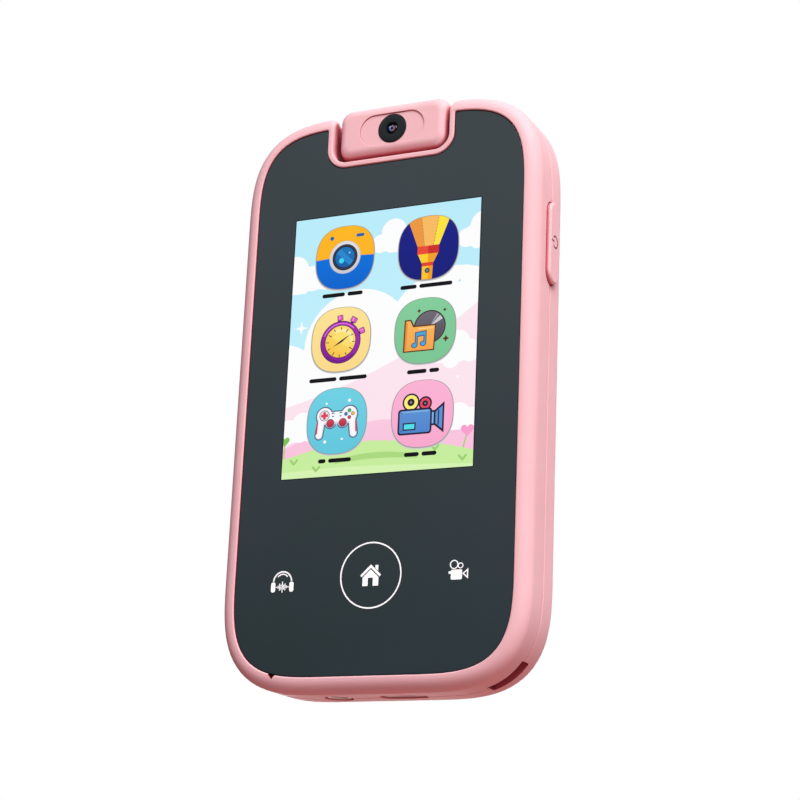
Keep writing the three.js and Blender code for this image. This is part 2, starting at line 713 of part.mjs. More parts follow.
addPiece("front_shell", frontShell(), "pinkPlastic");
addPiece("rear_shell", rearShell(), "pinkPlastic");
addPiece("touch_panel", touchPanel(), "panelGlass");
addPiece("panel_tape", panelTape(), "blackPlastic");
addPiece("lcd_cell", lcdCell(), "screenGlass");
addPiece("backlight_frame", backlightFrame(), "steel");
addPiece("lcd_flex", lcdFlex(), "flex");
addPiece("touch_key_board", touchKeyBoard(), "board");
addPiece("main_board", mainBoard(), "board");
addPiece("main_processor", chip(12, 60, 5, 1), "blackPlastic");
addPiece("memory_chip", chip(-8, 76, 4, 1), "blackPlastic");
addPiece("microphone", chip(13, 6, 2, 1.4), "steel");
addPiece("battery", battery(), "foil");
const batteryLead = [[-8, 2.8, 93.9], [-8, 1.6, 96.5], [-8, -0.6, 98.5], [-8, -1.2, 101]];
addPiece("battery_lead", wire(0.6, batteryLead), "wire");
addPiece("speaker", speaker(), "blackPlastic");
addPiece("speaker_lead", wire(0.6, [[-3.4, 3, 26], [-1, 1.6, 28], [1, -0.4, 30], [2, -1.2, 33]]), "wire");
addPiece("headphone_jack_body", headphoneJackBody(), "blackPlastic");
addPiece("headphone_jack_sleeve", headphoneJackSleeve(), "steel");
addPiece("usb_shell", usbShell(), "steel");
addPiece("usb_tongue", usbTongue(), "blackPlastic");
addPiece("power_button", powerButton(), "pinkPlastic");
addPiece("switch_plunger", switchPlunger(), "blackPlastic");
addPiece("power_switch", powerSwitch(), "steel");
addPiece("camera_head_front", headFront(), "pinkPlastic");
addPiece("camera_head_rear", headRear(), "pinkPlastic");
addPiece("lens_bezel", lensBezel(), "blackPlastic");
addPiece("lens_glass", lensGlass(), "lensGlass");
addPiece("lens_barrel", lensBarrel(), "blackPlastic");
addPiece("camera_module", cameraModule(), "blackPlastic");
addPiece("hinge_pin_left", hingePin(-1, PIN.bore), "steel");
addPiece("hinge_pin_right", hingePin(1, 0), "steel");
addPiece("hinge_washer", hingeWasher(), "steel");
addPiece(
  "camera_cable_head",
  wire(0.7, [[-2, -0.5, PIVOT_HEIGHT], [-5, 0.1, PIVOT_HEIGHT], [-8, 0, PIVOT_HEIGHT], [-17.4, 0, PIVOT_HEIGHT]]),
  "wire",
);
addPiece(
  "camera_cable_body",
  wire(0.7, [[-17.8, 0, PIVOT_HEIGHT], [-20.5, 0, 120], [-20.5, -0.4, 112], [-19, -1.1, 104]]),
  "wire",
);
addPiece("lanyard_post", lanyardPost(), "steel");
for (const [name, [x, z]] of Object.entries(screwPlaces())) {
  addPiece(name, screw(x, z), "steel");
}

export default phone;
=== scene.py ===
# Looks of a toy phone whose camera head turns over in a notch at its top.
# Shapes are worked out in millimetres and stored in metres. +Z runs up the phone, the screen faces -Y.

import math

import bmesh
import bpy
import numpy as np
from mathutils import Matrix, Vector


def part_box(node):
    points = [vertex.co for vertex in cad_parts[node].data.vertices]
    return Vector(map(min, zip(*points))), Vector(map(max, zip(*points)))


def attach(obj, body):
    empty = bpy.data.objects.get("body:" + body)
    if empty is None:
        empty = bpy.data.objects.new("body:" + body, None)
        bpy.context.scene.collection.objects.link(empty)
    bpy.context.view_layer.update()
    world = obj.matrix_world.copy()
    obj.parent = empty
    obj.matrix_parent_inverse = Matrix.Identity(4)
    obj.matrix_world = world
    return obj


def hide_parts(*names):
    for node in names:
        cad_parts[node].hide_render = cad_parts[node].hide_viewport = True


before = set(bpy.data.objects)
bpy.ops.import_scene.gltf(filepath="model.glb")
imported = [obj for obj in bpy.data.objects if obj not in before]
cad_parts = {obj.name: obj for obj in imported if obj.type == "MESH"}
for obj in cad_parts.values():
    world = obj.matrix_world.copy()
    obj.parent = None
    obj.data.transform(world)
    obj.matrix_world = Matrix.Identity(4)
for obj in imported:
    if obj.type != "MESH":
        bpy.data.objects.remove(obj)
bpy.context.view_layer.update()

MM = 0.001

# ---------- driving dimensions, in millimetres ----------


def box_mm(node):
    """The lowest and highest corners of a CAD node."""
    low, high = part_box(node)
    return low / MM, high / MM


CASE_LOW, CASE_HIGH = box_mm("front_shell")
HALF_WIDTH = CASE_HIGH.x
HEIGHT = CASE_HIGH.z
FRONT = CASE_LOW.y
BACK = box_mm("rear_shell")[1].y
PANEL_LOW, PANEL_HIGH = box_mm("touch_panel")
PANEL_FRONT = PANEL_LOW.y
MARGIN = HALF_WIDTH - PANEL_HIGH.x  # from the panel's edge to the outside of the case
HAIRLINE = 0.14  # the gap round the panel

CORNER_REACH = 21.8  # how far a panel corner's bend reaches along each side
CORNER_POWER = 3.6  # how square the bend is
CORNER_X = HALF_WIDTH - MARGIN - CORNER_REACH  # middles of the panel's corners
HIGH_CORNER_Z = HEIGHT - MARGIN - CORNER_REACH
LOW_CORNER_Z = MARGIN + CORNER_REACH
CORNER_STEPS = 36
ARC_STEPS = 10
ROUND_STEPS = 12
SHARP_ANGLE = math.radians(32)  # edges that bend more than this stay crisp
WALL = 1.6

FRONT_ROUND = 2.9
REAR_ROUND = 3.6
LIP_ROUND = 0.27

NOTCH_HALF = 13.75
NOTCH_FLOOR = 114.55
NOTCH_CORNER = 3.4
NOTCH_RIM = 1.2
NOTCH_ROUND = 0.3
NOTCH_RELIEF = 0.4  # how much wider the notch is behind its front edge
MOUTH_ROUND = 1.5
MOUTH_ROUND_FRONT = 0.85
NOTCH_SKIPPED_STEPS = 11  # steps of the upper corners that the notch's mouth takes the place of
PIVOT_Z = 121.25
TROUGH_RADIUS = 9.1

HEAD_LOW, HEAD_HIGH = box_mm("camera_head_front")
HEAD_HALF_WIDTH = HEAD_HIGH.x
HEAD_HALF_HEIGHT = HEAD_HIGH.z - PIVOT_Z
HEAD_FRONT = HEAD_LOW.y
HEAD_CORNER = 2.7
HEAD_ROUND = 2.1
HEAD_WALL = 1.2
RECESS_HALF_LENGTH = 7.6
RECESS_HALF_HEIGHT = 3.55
RECESS_DEPTH = 0.28

SCREEN_HALF_WIDTH = 21.6
SCREEN_HALF_HEIGHT = 28.8
SCREEN_MIDDLE = 73.5

# ---------- camera ----------

CAMERA_AZIMUTH = 25.433
CAMERA_ELEVATION = -16.245
CAMERA_ROLL = 2.484
CAMERA_DISTANCE = 409.08
CAMERA_AIM = Vector((4.937, PANEL_FRONT, 59.796))
CAMERA_LENS = 89.82


def make_camera():
    """The camera, at a distance from what it aims at, seen along an azimuth and an elevation."""
    data = bpy.data.cameras.new("camera")
    data.lens = CAMERA_LENS
    data.sensor_width = 36
    data.clip_start = 0.01
    data.clip_end = 20
    camera = bpy.data.objects.new("camera", data)
    bpy.context.scene.collection.objects.link(camera)
    azimuth, elevation = math.radians(CAMERA_AZIMUTH), math.radians(CAMERA_ELEVATION)
    back = Vector((
        math.sin(azimuth) * math.cos(elevation),
        -math.cos(azimuth) * math.cos(elevation),
        math.sin(elevation),
    ))
    turn = (-back).to_track_quat("-Z", "Y").to_matrix() @ Matrix.Rotation(math.radians(CAMERA_ROLL), 3, "Z")
    camera.matrix_world = Matrix.Translation((CAMERA_AIM + back * CAMERA_DISTANCE) * MM) @ turn.to_4x4()
    bpy.context.scene.camera = camera


# ---------- meshes ----------


def make_object(name, points, faces, material=None):
    """A mesh from points in millimetres."""
    mesh = bpy.data.meshes.new(name)
    mesh.from_pydata([tuple(p * MM for p in point) for point in points], [], faces)
    mesh.validate()
    mesh.shade_smooth()
    mesh.set_sharp_from_angle(angle=SHARP_ANGLE)
    obj = bpy.data.objects.new(name, mesh)
    bpy.context.scene.collection.objects.link(obj)
    if material is not None:
        mesh.materials.append(material)
    return obj


def face_outwards(obj):
    """Turns a closed mesh's faces outwards."""
    work = bmesh.new()
    work.from_mesh(obj.data)
    bmesh.ops.recalc_face_normals(work, faces=work.faces)
    work.to_mesh(obj.data)
    work.free()


def loft(name, rings, closed=False, material=None):
    """Joins rings of equal length. The first and last are capped, or joined to each other when closed."""
    count = len(rings[0])
    points = [point for ring in rings for point in ring]
    faces = []
    bands = len(rings) if closed else len(rings) - 1
    for band in range(bands):
        near, far = band * count, ((band + 1) % len(rings)) * count
        for step in range(count):
            after = (step + 1) % count
            faces.append((near + step, near + after, far + after, far + step))
    if not closed:
        faces.append(tuple(reversed(range(count))))
        faces.append(tuple(range(len(points) - count, len(points))))
    obj = make_object(name, points, faces, material)
    face_outwards(obj)
    return obj


def combine(target, others, operation):
    """Joins the others to the target, or cuts it with them, and removes them."""
    for other in others:
        modifier = target.modifiers.new("combine", "BOOLEAN")
        modifier.operation = operation
        modifier.solver = "MANIFOLD"
        modifier.object = other
    finish_modifiers(target)
    for other in others:
        bpy.data.objects.remove(other)
    return target


def finish_modifiers(obj):
    """Turns what the modifiers make into the object's own mesh."""
    graph = bpy.context.evaluated_depsgraph_get()
    mesh = bpy.data.meshes.new_from_object(obj.evaluated_get(graph))
    obj.modifiers.clear()
    obj.data = mesh


def tidy_shading(obj):
    """Smooth curves and flat flats: faces are weighted by their area."""
    obj.data.shade_smooth()
    obj.data.set_sharp_from_angle(angle=SHARP_ANGLE)
    modifier = obj.modifiers.new("weighted", "WEIGHTED_NORMAL")
    modifier.keep_sharp = True
    modifier.weight = 80
    finish_modifiers(obj)
    return obj


def arc(centre, radius, start, end, steps):
    """Points from one angle to another, in degrees, both ends included."""
    x, z = centre
    angles = [math.radians(angle) for angle in np.linspace(start, end, steps + 1)]
    return [(x + radius * math.cos(angle), z + radius * math.sin(angle)) for angle in angles]


def stadium(half_length, half_width, middle=(0, 0), upright=False, steps=ARC_STEPS):
    """A straight band with round ends."""
    reach = half_length - half_width
    x, y = middle
    if upright:
        ends, start = ((x, y + reach), (x, y - reach)), 0
    else:
        ends, start = ((x + reach, y), (x - reach, y)), -90
    outline = arc(ends[0], half_width, start, start + 180, 2 * steps)
    return outline + arc(ends[1], half_width, start + 180, start + 360, 2 * steps)


def rectangle(half_width, half_height, x=0, y=0):
    left, right, low, high = x - half_width, x + half_width, y - half_height, y + half_height
    return [(left, low), (right, low), (right, high), (left, high)]


def rounded_box(half_width, low, high, radius, steps=ARC_STEPS):
    corners = [
        (half_width - radius, low + radius, -90),
        (half_width - radius, high - radius, 0),
        (radius - half_width, high - radius, 90),
        (radius - half_width, low + radius, 180),
    ]
    return [point for x, z, start in corners for point in arc((x, z), radius, start, start + 90, steps)]


def circle(radius, middle=(0, 0), steps=48):
    return arc(middle, radius, 0, 360 - 360 / steps, steps - 1)


def moved(outline, x, z, turn=0.0, scale=1.0):
    """An outline scaled, turned by an angle in degrees, and set down at a place."""
    along, up = math.cos(math.radians(turn)) * scale, math.sin(math.radians(turn)) * scale
    return [(x + a * along - b * up, z + a * up + b * along) for a, b in outline]


AXES = {
    "x": lambda a, b, level: (level, a, b),
    "y": lambda a, b, level: (a, level, b),
    "z": lambda a, b, level: (a, b, level),
}


def stack(name, axis, outline_at, levels, closed=False, material=None):
    """A solid from outlines at levels along an axis. levels holds (level, argument for outline_at)."""
    rings = [[AXES[axis](a, b, level) for a, b in outline_at(argument)] for level, argument in levels]
    return loft(name, rings, closed, material)


def prism(axis, outline, low, high):
    """A straight solid, mostly one that others are cut with."""
    return stack("cutter", axis, lambda _: outline, [(low, None), (high, None)])


def flared(axis, outline_at, inside, mouth, flare):
    """A cutter whose outline widens towards its mouth, so that it leaves a rounded rim."""
    side = 1 if mouth > inside else -1
    levels = [(inside, 0)]
    for angle in quarter(4):
        levels.append((mouth - side * flare * (1 - math.sin(angle)), flare * (1 - math.cos(angle))))
    levels.append((mouth + side, flare))
    return stack("cutter", axis, outline_at, levels)


def lathe(name, profile, place, material=None, steps=48, closed=False):
    """Turns (radius, height) points round an axis. place puts (across, up, height) into the frame."""
    rings = []
    for radius, height in profile:
        rings.append([place(a, b, height) for a, b in circle(radius, (0, 0), steps)])
    return loft(name, rings, closed, material)


def spaced(low, high, spacing):
    """Even numbers from low to high, both included."""
    return np.linspace(low, high, max(round(abs(high - low) / spacing), 1) + 1)


def quarter(steps):
    """Angles from 0 to 90 degrees, in radians."""
    return np.radians(np.linspace(0, 90, steps + 1))


# ---------- the phone's outline ----------


def bend_point(along, up, offset):
    """A point of a panel corner in the direction (along, up) from its middle, moved outwards by an offset."""
    squareness = (along**CORNER_POWER + up**CORNER_POWER) ** (-1 / CORNER_POWER)
    outward = np.array([along, up]) ** (CORNER_POWER - 1)
    outward /= np.linalg.norm(outward)
    return np.array([along, up]) * CORNER_REACH * squareness + outward * offset


def corner_bend(offset):
    """A corner of the phone's outline, from its side end to its level end."""
    angles = np.linspace(0, math.pi / 2, CORNER_STEPS + 1)
    return [bend_point(abs(math.cos(angle)), math.sin(angle), offset) for angle in angles]


def top_edge(base_x, offset):
    """A point of the outline's upper right edge, moved outwards from a place on the panel's edge."""
    along = max(base_x - CORNER_X, 0) / CORNER_REACH
    up = (1 - along**CORNER_POWER) ** (1 / CORNER_POWER)
    x, z = bend_point(along, up, offset)
    return CORNER_X + x, HIGH_CORNER_Z + z


def notch_floor(y):
    """Height of the notch's floor: flat at the front and back, and round where the head turns."""
    inside = TROUGH_RADIUS**2 - y**2
    return NOTCH_FLOOR if inside <= 0 else min(NOTCH_FLOOR, PIVOT_Z - math.sqrt(inside))


def case_outline(offset, grow=None, mouth=MOUTH_ROUND, y=FRONT):
    """The case's outline at one depth, clockwise from the notch's right mouth as seen from the front.

    offset is the distance outside the panel's edge, and grow the distance outside the notch's wall.
    Without grow, the outline has no notch."""
    bend = corner_bend(offset)
    right = [(CORNER_X + x, HIGH_CORNER_Z + z) for x, z in reversed(bend)]
    right += [(CORNER_X + x, LOW_CORNER_Z - z) for x, z in bend]
    if grow is None:
        return right + [(-x, z) for x, z in reversed(right)]
    half = NOTCH_HALF + grow
    corner = NOTCH_CORNER + grow
    bottom = notch_floor(y) - grow
    entry = half + mouth
    top = top_edge(entry, offset)[1]
    kept_from = CORNER_X + corner_bend(0)[CORNER_STEPS - NOTCH_SKIPPED_STEPS][0]
    lead = [top_edge(entry + (kept_from - entry) * share, offset) for share in (0.25, 0.5, 0.75)]
    right = arc((entry, top - mouth), mouth, 180, 90, 8) + lead + right[NOTCH_SKIPPED_STEPS:]
    low, high = bottom + corner, top - mouth
    side = [(half, low + (high - low) * share) for share in (0.25, 0.5, 0.75)]
    floor = arc((half - corner, low), corner, -90, 0, ARC_STEPS) + side
    left = [(-x, z) for x, z in reversed(right)]
    return right + left + [(-x, z) for x, z in reversed(floor)] + floor


def notch_edge(depth):
    """How far the notch's rounded edge has opened, at a depth below the case's face."""
    left = max(NOTCH_ROUND - depth, 0)
    return NOTCH_ROUND - math.sqrt(NOTCH_ROUND**2 - left**2)


def case_loft(name, levels, closed, material):
    """A solid from (y, offset, grow, mouth) levels of the case's outline."""
    rings = []
    for y, offset, grow, mouth in levels:
        rings.append([(x, y, z) for x, z in case_outline(offset, grow, mouth, y)])
    return loft(name, rings, closed, material)


# ---------- materials ----------


def linear(red, green, blue):
    """A colour given in display values from 0 to 255, as the light it stands for."""
    values = []
    for value in (red, green, blue):
        share = value / 255
        values.append(share / 12.92 if share <= 0.04045 else ((share + 0.055) / 1.055) ** 2.4)
    return (*values, 1)


PINK = linear(238, 190, 196)
PINK_DEEPER = linear(236, 186, 192)
# painted shade: a darker, redder copy of the pink, for the walls of the strap slot
SHADE = linear(202, 98, 110)
SHADE_DEEPER = linear(192, 90, 102)
PAINTED_SHADE_REACH = 2.0  # how far off a wall the painted shade still reaches
# painted shade: how many extra bounces of pink deepen the colour near walls
PAINTED_BOUNCES = 7
PAINTED_GAP_SHADE = linear(24, 8, 9)  # painted shade: the near black colour painted into gaps too narrow for light
PICTURE_GLOW = 1.0
PIXEL_PITCH = 0.18  # from one row of the display to the next


def colour_mix(tree, blend):
    """A Mix node for colours: its factor, first, second and result sockets."""
    node = tree.nodes.new("ShaderNodeMix")
    node.data_type = "RGBA"
    node.blend_type = blend
    first, second = [socket for socket in node.inputs if socket.type == "RGBA"]
    result = [socket for socket in node.outputs if socket.type == "RGBA"][0]
    return node.inputs[0], first, second, result


class Nodes:
    """A material's node tree, with its Principled shader ready."""

    def __init__(self, name):
        self.material = bpy.data.materials.new(name)
        self.material.use_nodes = True
        self.tree = self.material.node_tree
        self.shader = self.tree.nodes["Principled BSDF"]
        self.places = self.add("ShaderNodeTexCoord").outputs["Object"]

    def add(self, kind, **settings):
        node = self.tree.nodes.new(kind)
        for key, value in settings.items():
            setattr(node, key, value)
        return node

    def link(self, start, end):
        self.tree.links.new(start, end)

    def set(self, **values):
        """Sets the shader's own sockets, with _ for a space in a socket's name."""
        for key, value in values.items():
            self.shader.inputs[key.replace("_", " ")].default_value = value

    def stretched(self, scale):
        """Object coordinates, in metres, scaled by three factors."""
        mapping = self.add("ShaderNodeMapping")
        mapping.inputs["Scale"].default_value = scale
        self.link(self.places, mapping.inputs["Vector"])
        return mapping.outputs["Vector"]

    def noise(self, grain, detail=2.0, roughness=0.5, vector=None):
        """Smooth noise with a grain size in millimetres."""
        node = self.add("ShaderNodeTexNoise")
        node.inputs["Scale"].default_value = 1 / (grain * MM)
        node.inputs["Detail"].default_value = detail
        node.inputs["Roughness"].default_value = roughness
        self.link(vector or self.places, node.inputs["Vector"])
        return node.outputs["Fac"]

    def ranged(self, value, low, high, start=0.3, end=0.7):
        """A value between start and end, spread from low to high."""
        node = self.add("ShaderNodeMapRange")
        for key, number in zip(("From Min", "From Max", "To Min", "To Max"), (start, end, low, high)):
            node.inputs[key].default_value = number
        self.link(value, node.inputs["Value"])
        return node.outputs["Result"]

    def mixed(self, share, first, second):
        """A mix of two colours, each a tuple or another node's socket."""
        factor, low, high, result = colour_mix(self.tree, "MIX")
        self.link(share, factor)
        for socket, value in ((low, first), (high, second)):
            if isinstance(value, tuple):
                socket.default_value = value
            else:
                self.link(value, socket)
        return result

    def bump(self, height, depth, strength=1.0):
        """Relief of a depth in millimetres."""
        node = self.add("ShaderNodeBump")
        node.inputs["Distance"].default_value = depth * MM
        node.inputs["Strength"].default_value = strength
        self.link(height, node.inputs["Height"])
        self.link(node.outputs["Normal"], self.shader.inputs["Normal"])

    def vary(self, colour, other, grain, roughness, spread):
        """A colour and a roughness that both drift over the surface."""
        cloud = self.noise(grain, 3)
        self.link(self.mixed(self.ranged(cloud, 0, 1), colour, other), self.shader.inputs["Base Color"])
        fine = self.noise(grain / 6, 2)
        self.link(self.ranged(fine, roughness - spread, roughness + spread), self.shader.inputs["Roughness"])


def pink_plastic(name, colour, other):
    """Satin moulded plastic, with painted shade: near walls its colour is painted deeper and redder, as if
    light had met the pink several times, and narrow gaps are painted near black.
    """
    nodes = Nodes(name)
    cloud = nodes.ranged(nodes.noise(14, 3), 0, 1)
    # painted shade: occlusion deepens and reddens the colour near walls, and turns it near black in narrow
    # gaps
    painted_shade_ao = nodes.add("ShaderNodeAmbientOcclusion", samples=8)
    painted_shade_ao.inputs["Distance"].default_value = PAINTED_SHADE_REACH * MM
    tinted = nodes.add("ShaderNodeGamma")
    nodes.link(nodes.mixed(cloud, colour, other), tinted.inputs["Color"])
    nodes.link(nodes.ranged(painted_shade_ao.outputs["AO"], 1 + PAINTED_BOUNCES, 1, 0, 0.74), tinted.inputs["Gamma"])
    lit = nodes.ranged(painted_shade_ao.outputs["AO"], 0, 1, 0.12, 0.42)
    nodes.link(nodes.mixed(lit, PAINTED_GAP_SHADE, tinted.outputs["Color"]), nodes.shader.inputs["Base Color"])
    fine = nodes.noise(2.4, 2)
    nodes.link(nodes.ranged(fine, 0.52, 0.58), nodes.shader.inputs["Roughness"])
    nodes.bump(nodes.noise(0.12, 2, 0.6), 0.004, 0.5)
    nodes.set(Subsurface_Weight=0.12, Subsurface_Radius=(1.0, 0.3, 0.25), Subsurface_Scale=0.5 * MM)
    nodes.set(Specular_IOR_Level=0.3)
    return nodes.material


def panel_glass():
    """Dark glossy panel with a faint unevenness."""
    nodes = Nodes("panel_glass")
    nodes.vary(linear(39, 54, 57), linear(43, 57, 63), 30, 0.1, 0.015)
    nodes.bump(nodes.noise(2.5, 1), 0.0006, 0.3)
    nodes.set(Coat_Weight=0.3, Coat_Roughness=0.04, IOR=1.5)
    return nodes.material


def plastic(name, colour, other, roughness=0.5, grain=6.0, relief=0.004, sheen=0.5):
    """Plain moulded plastic, and film and insulation of the same kind."""
    nodes = Nodes(name)
    nodes.vary(colour, other, grain, roughness, 0.05)
    nodes.bump(nodes.noise(0.1, 2, 0.6), relief, 0.6)
    nodes.set(Specular_IOR_Level=sheen)
    return nodes.material


def metal(name, colour, other, roughness=0.28, share=1.0):
    """Plated sheet, drawn along the phone."""
    nodes = Nodes(name)
    nodes.vary(colour, other, 4, roughness, 0.05)
    drawn = nodes.noise(0.05, 2, 0.6, nodes.stretched((1, 1, 0.06)))
    nodes.bump(drawn, 0.002, 0.6)
    nodes.set(Metallic=share)
    return nodes.material


def ink_and_painted_light(name, colour, other, glow=0.0):
    """Flat colour: printed ink, and also painted shade in a groove. It can glow a little, which is painted
    light, so that it stays clear.
    """
    nodes = Nodes(name)
    nodes.vary(colour, other, 1.5, 0.5, 0.05)
    nodes.bump(nodes.noise(0.06, 2), 0.002, 0.6)
    nodes.set(Emission_Color=(1, 1, 1, 1), Emission_Strength=glow)
    return nodes.material


def lens_painted_reflection():
    """Dark coated glass, with a painted reflection in its colour: blue rings on one side and brown ones on
    the other.
    """
    nodes = Nodes("lens_glass")
    rings = nodes.add("ShaderNodeTexWave", wave_type="RINGS", rings_direction="Y")
    shifted = nodes.add("ShaderNodeMapping", vector_type="POINT")
    shifted.inputs["Location"].default_value = (0, 0, -PIVOT_Z * MM)
    nodes.link(nodes.places, shifted.inputs["Vector"])
    nodes.link(shifted.outputs["Vector"], rings.inputs["Vector"])
    rings.inputs["Scale"].default_value = 330
    rings.inputs["Distortion"].default_value = 1.5
    side = nodes.add("ShaderNodeSeparateXYZ")
    nodes.link(shifted.outputs["Vector"], side.inputs["Vector"])
    share = nodes.ranged(side.outputs["X"], 0, 1, -0.7 * MM, 0.7 * MM)
    # painted reflection: blue towards -X, brown towards +X
    painted_reflection = nodes.mixed(share, linear(84, 150, 228), linear(150, 84, 58))
    colour = nodes.mixed(nodes.ranged(rings.outputs["Fac"], 0, 1, 0.5, 1.0), linear(7, 7, 10), painted_reflection)
    nodes.link(colour, nodes.shader.inputs["Base Color"])
    nodes.set(Roughness=0.05, Specular_IOR_Level=0.28)
    return nodes.material


def circuit_board():
    """Green solder mask over copper tracks."""
    nodes = Nodes("circuit_board")
    tracks = nodes.add("ShaderNodeTexBrick")
    tracks.inputs["Scale"].default_value = 420
    tracks.inputs["Mortar Size"].default_value = 0.06
    tracks.inputs["Color1"].default_value = linear(24, 104, 66)
    tracks.inputs["Color2"].default_value = linear(30, 116, 72)
    tracks.inputs["Mortar"].default_value = linear(58, 140, 84)
    turned = nodes.add("ShaderNodeMapping")
    turned.inputs["Rotation"].default_value = (math.radians(90), 0, 0)
    nodes.link(nodes.places, turned.inputs["Vector"])
    nodes.link(turned.outputs["Vector"], tracks.inputs["Vector"])
    nodes.link(tracks.outputs["Color"], nodes.shader.inputs["Base Color"])
    nodes.bump(tracks.outputs["Fac"], 0.03, 0.6)
    nodes.set(Roughness=0.38, Coat_Weight=0.3)
    return nodes.material


def battery_foil():
    """Laminated pouch foil with soft creases."""
    nodes = Nodes("battery_foil")
    nodes.vary(linear(196, 199, 204), linear(176, 180, 188), 9, 0.32, 0.08)
    creases = nodes.add("ShaderNodeTexVoronoi", feature="SMOOTH_F1")
    creases.inputs["Scale"].default_value = 160
    nodes.link(nodes.places, creases.inputs["Vector"])
    nodes.bump(creases.outputs["Distance"], 0.15, 0.4)
    nodes.set(Metallic=0.7)
    return nodes.material


def lit_picture():
    """The display: its picture glows through fine rows of pixels."""
    nodes = Nodes("display")
    picture = nodes.add("ShaderNodeAttribute", attribute_name="picture")
    rows = nodes.add("ShaderNodeTexWave", wave_type="BANDS", bands_direction="Z", wave_profile="TRI")
    rows.inputs["Scale"].default_value = math.pi / (20 * PIXEL_PITCH * MM)
    nodes.link(nodes.places, rows.inputs["Vector"])
    dimmed = nodes.ranged(rows.outputs["Fac"], 0.975, 1.0, 0, 1)
    colour = nodes.mixed(dimmed, (0, 0, 0, 1), picture.outputs["Color"])
    uneven = nodes.ranged(nodes.noise(25, 1), 0.985, 1.0)
    final = nodes.mixed(uneven, (0, 0, 0, 1), colour)
    nodes.link(final, nodes.shader.inputs["Emission Color"])
    nodes.set(Base_Color=(0.004, 0.005, 0.006, 1), Emission_Strength=PICTURE_GLOW, Roughness=0.3)
    nodes.set(Specular_IOR_Level=0.08)
    return nodes.material


# ---------- case ----------

LEDGE_FRONT, LEDGE_BACK, LEDGE_INSET = -5.8, -4.8, 3.0  # the ledge that the panel lies on
BED_MOUTH = 0.45
PARTING = 0.07  # half of the gap between the two shells
PARTING_ROUND = 0.3
CEILING = 6.4  # inner face of the rear wall
CEILING_BEVEL = 1.2
CEILING_OVERLAP = 0.4  # how far what stands on the ceiling, or cuts it, runs past its face
INNER_MOUTH = 0.4  # the notch's mouth at the hollow's bevels
OUTER_STEP, INNER_STEP = 0.6, 1.2  # between a straight wall's levels, fine enough for the notch's floor
PANEL_LEVELS = ((0, 0.6), (0, 0.1), (0.03, 0.03), (0.1, 0))  # (depth, inset) over the panel's front edge

PIN_HOLE, PIN_REACH = 2.5, 3.25
PORT_DEPTH, PORT_ROUND = 3.5, 0.12
JACK_X, JACK_OPENING = -9.45, 3.0
USB_X, USB_OPENING = 5.05, (5.2, 2.1)
BUTTON_Z, BUTTON_HALF_LENGTH, BUTTON_HALF_WIDTH, BUTTON_GAP = 93.2, 8.9, 2.6, 0.14
STRAP_MIDDLE, STRAP_TILT = (27.2, 3.8), math.radians(35)
STRAP_HALF_LENGTH, STRAP_DEPTH, STRAP_BLOCK = 4.4, 5.6, 7.4
STRAP_FRONT, STRAP_BACK = -1.5, 2.1
POST_RADIUS, POST_INSIDE, POST_FRONT, POST_BACK = 1.3, 3.2, -5.4, 3.4
PRY_X, PRY_EDGE, PRY_HALF_WIDTH, PRY_DEPTH, PRY_BACK = -21.1, 3.9, 0.8, 0.9, -6.8
SPEAKER_X, SPEAKER_Z, SPEAKER_REACH, SLOT_PITCH, SLOT_HALF_WIDTH = -13, 24, 7.5, 3.2, 0.7
SCREW_X, SCREW_HEIGHTS, SCREW_RECESS, SCREW_SEAT = 27, (14, 113), 2.5, 5.6
BOSS_RADIUS, BOSS_FRONT = 3.3, 0.6
SHANK_HOLE, SHANK_FRONT, SHANK_BACK = 1.3, 0, 7
OPENING_ROUND = 0.25  # rims of the rear cover's openings
BEYOND = 20  # further out than any part of the case


def strap_point(along, y, inside):
    """A place in the strap slot's own frame: along the slot, through the case, and in from its mouth."""
    x, z = STRAP_MIDDLE
    across = along * math.cos(STRAP_TILT) - inside * math.sin(STRAP_TILT)
    return x + across, y, z + along * math.sin(STRAP_TILT) + inside * math.cos(STRAP_TILT)


def strap_box(half_length, outer, inner, low, high, radius=0.3):
    """A block in the strap slot's frame, from low to high through the case."""
    middle = (low + high) / 2
    outline = rounded_box(half_length, low - middle, high - middle, radius, 4)
    rings = [[strap_point(along, middle + y, inside) for along, y in outline] for inside in (-outer, inner)]
    return loft("cutter", rings)


def port_cutters():
    """The two sockets' openings in the bottom face, with softened rims."""
    width, depth = USB_OPENING
    outlines = (
        lambda grow: circle(JACK_OPENING + grow, (JACK_X, 0), 64),
        lambda grow: stadium(width + grow, depth + grow, (USB_X, 0)),
    )
    return [flared("z", outline, PORT_DEPTH, 0, PORT_ROUND) for outline in outlines]


def button_cutter():
    """The side button's opening, a hairline wider than its cap."""
    def outline(grow):
        reach = BUTTON_GAP + grow
        return stadium(BUTTON_HALF_LENGTH + reach, BUTTON_HALF_WIDTH + reach, (0, BUTTON_Z), True)

    return flared("x", outline, HALF_WIDTH - 2 * WALL, HALF_WIDTH, 0.2)


def pin_cutters(inner, outer):
    """Holes for the two hinge pins, between two distances from the middle."""
    hole = circle(PIN_HOLE, (0, PIVOT_Z))
    return [prism("x", hole, -outer, -inner), prism("x", hole, inner, outer)]


def strap_cutters():
    """The slot for a strap, and the hole for the post across it."""
    x, _, z = strap_point(0, 0, POST_INSIDE)
    return [
        strap_box(STRAP_HALF_LENGTH, 4, STRAP_DEPTH, STRAP_FRONT, STRAP_BACK),
        prism("y", circle(POST_RADIUS, (x, z)), POST_FRONT, POST_BACK),
    ]


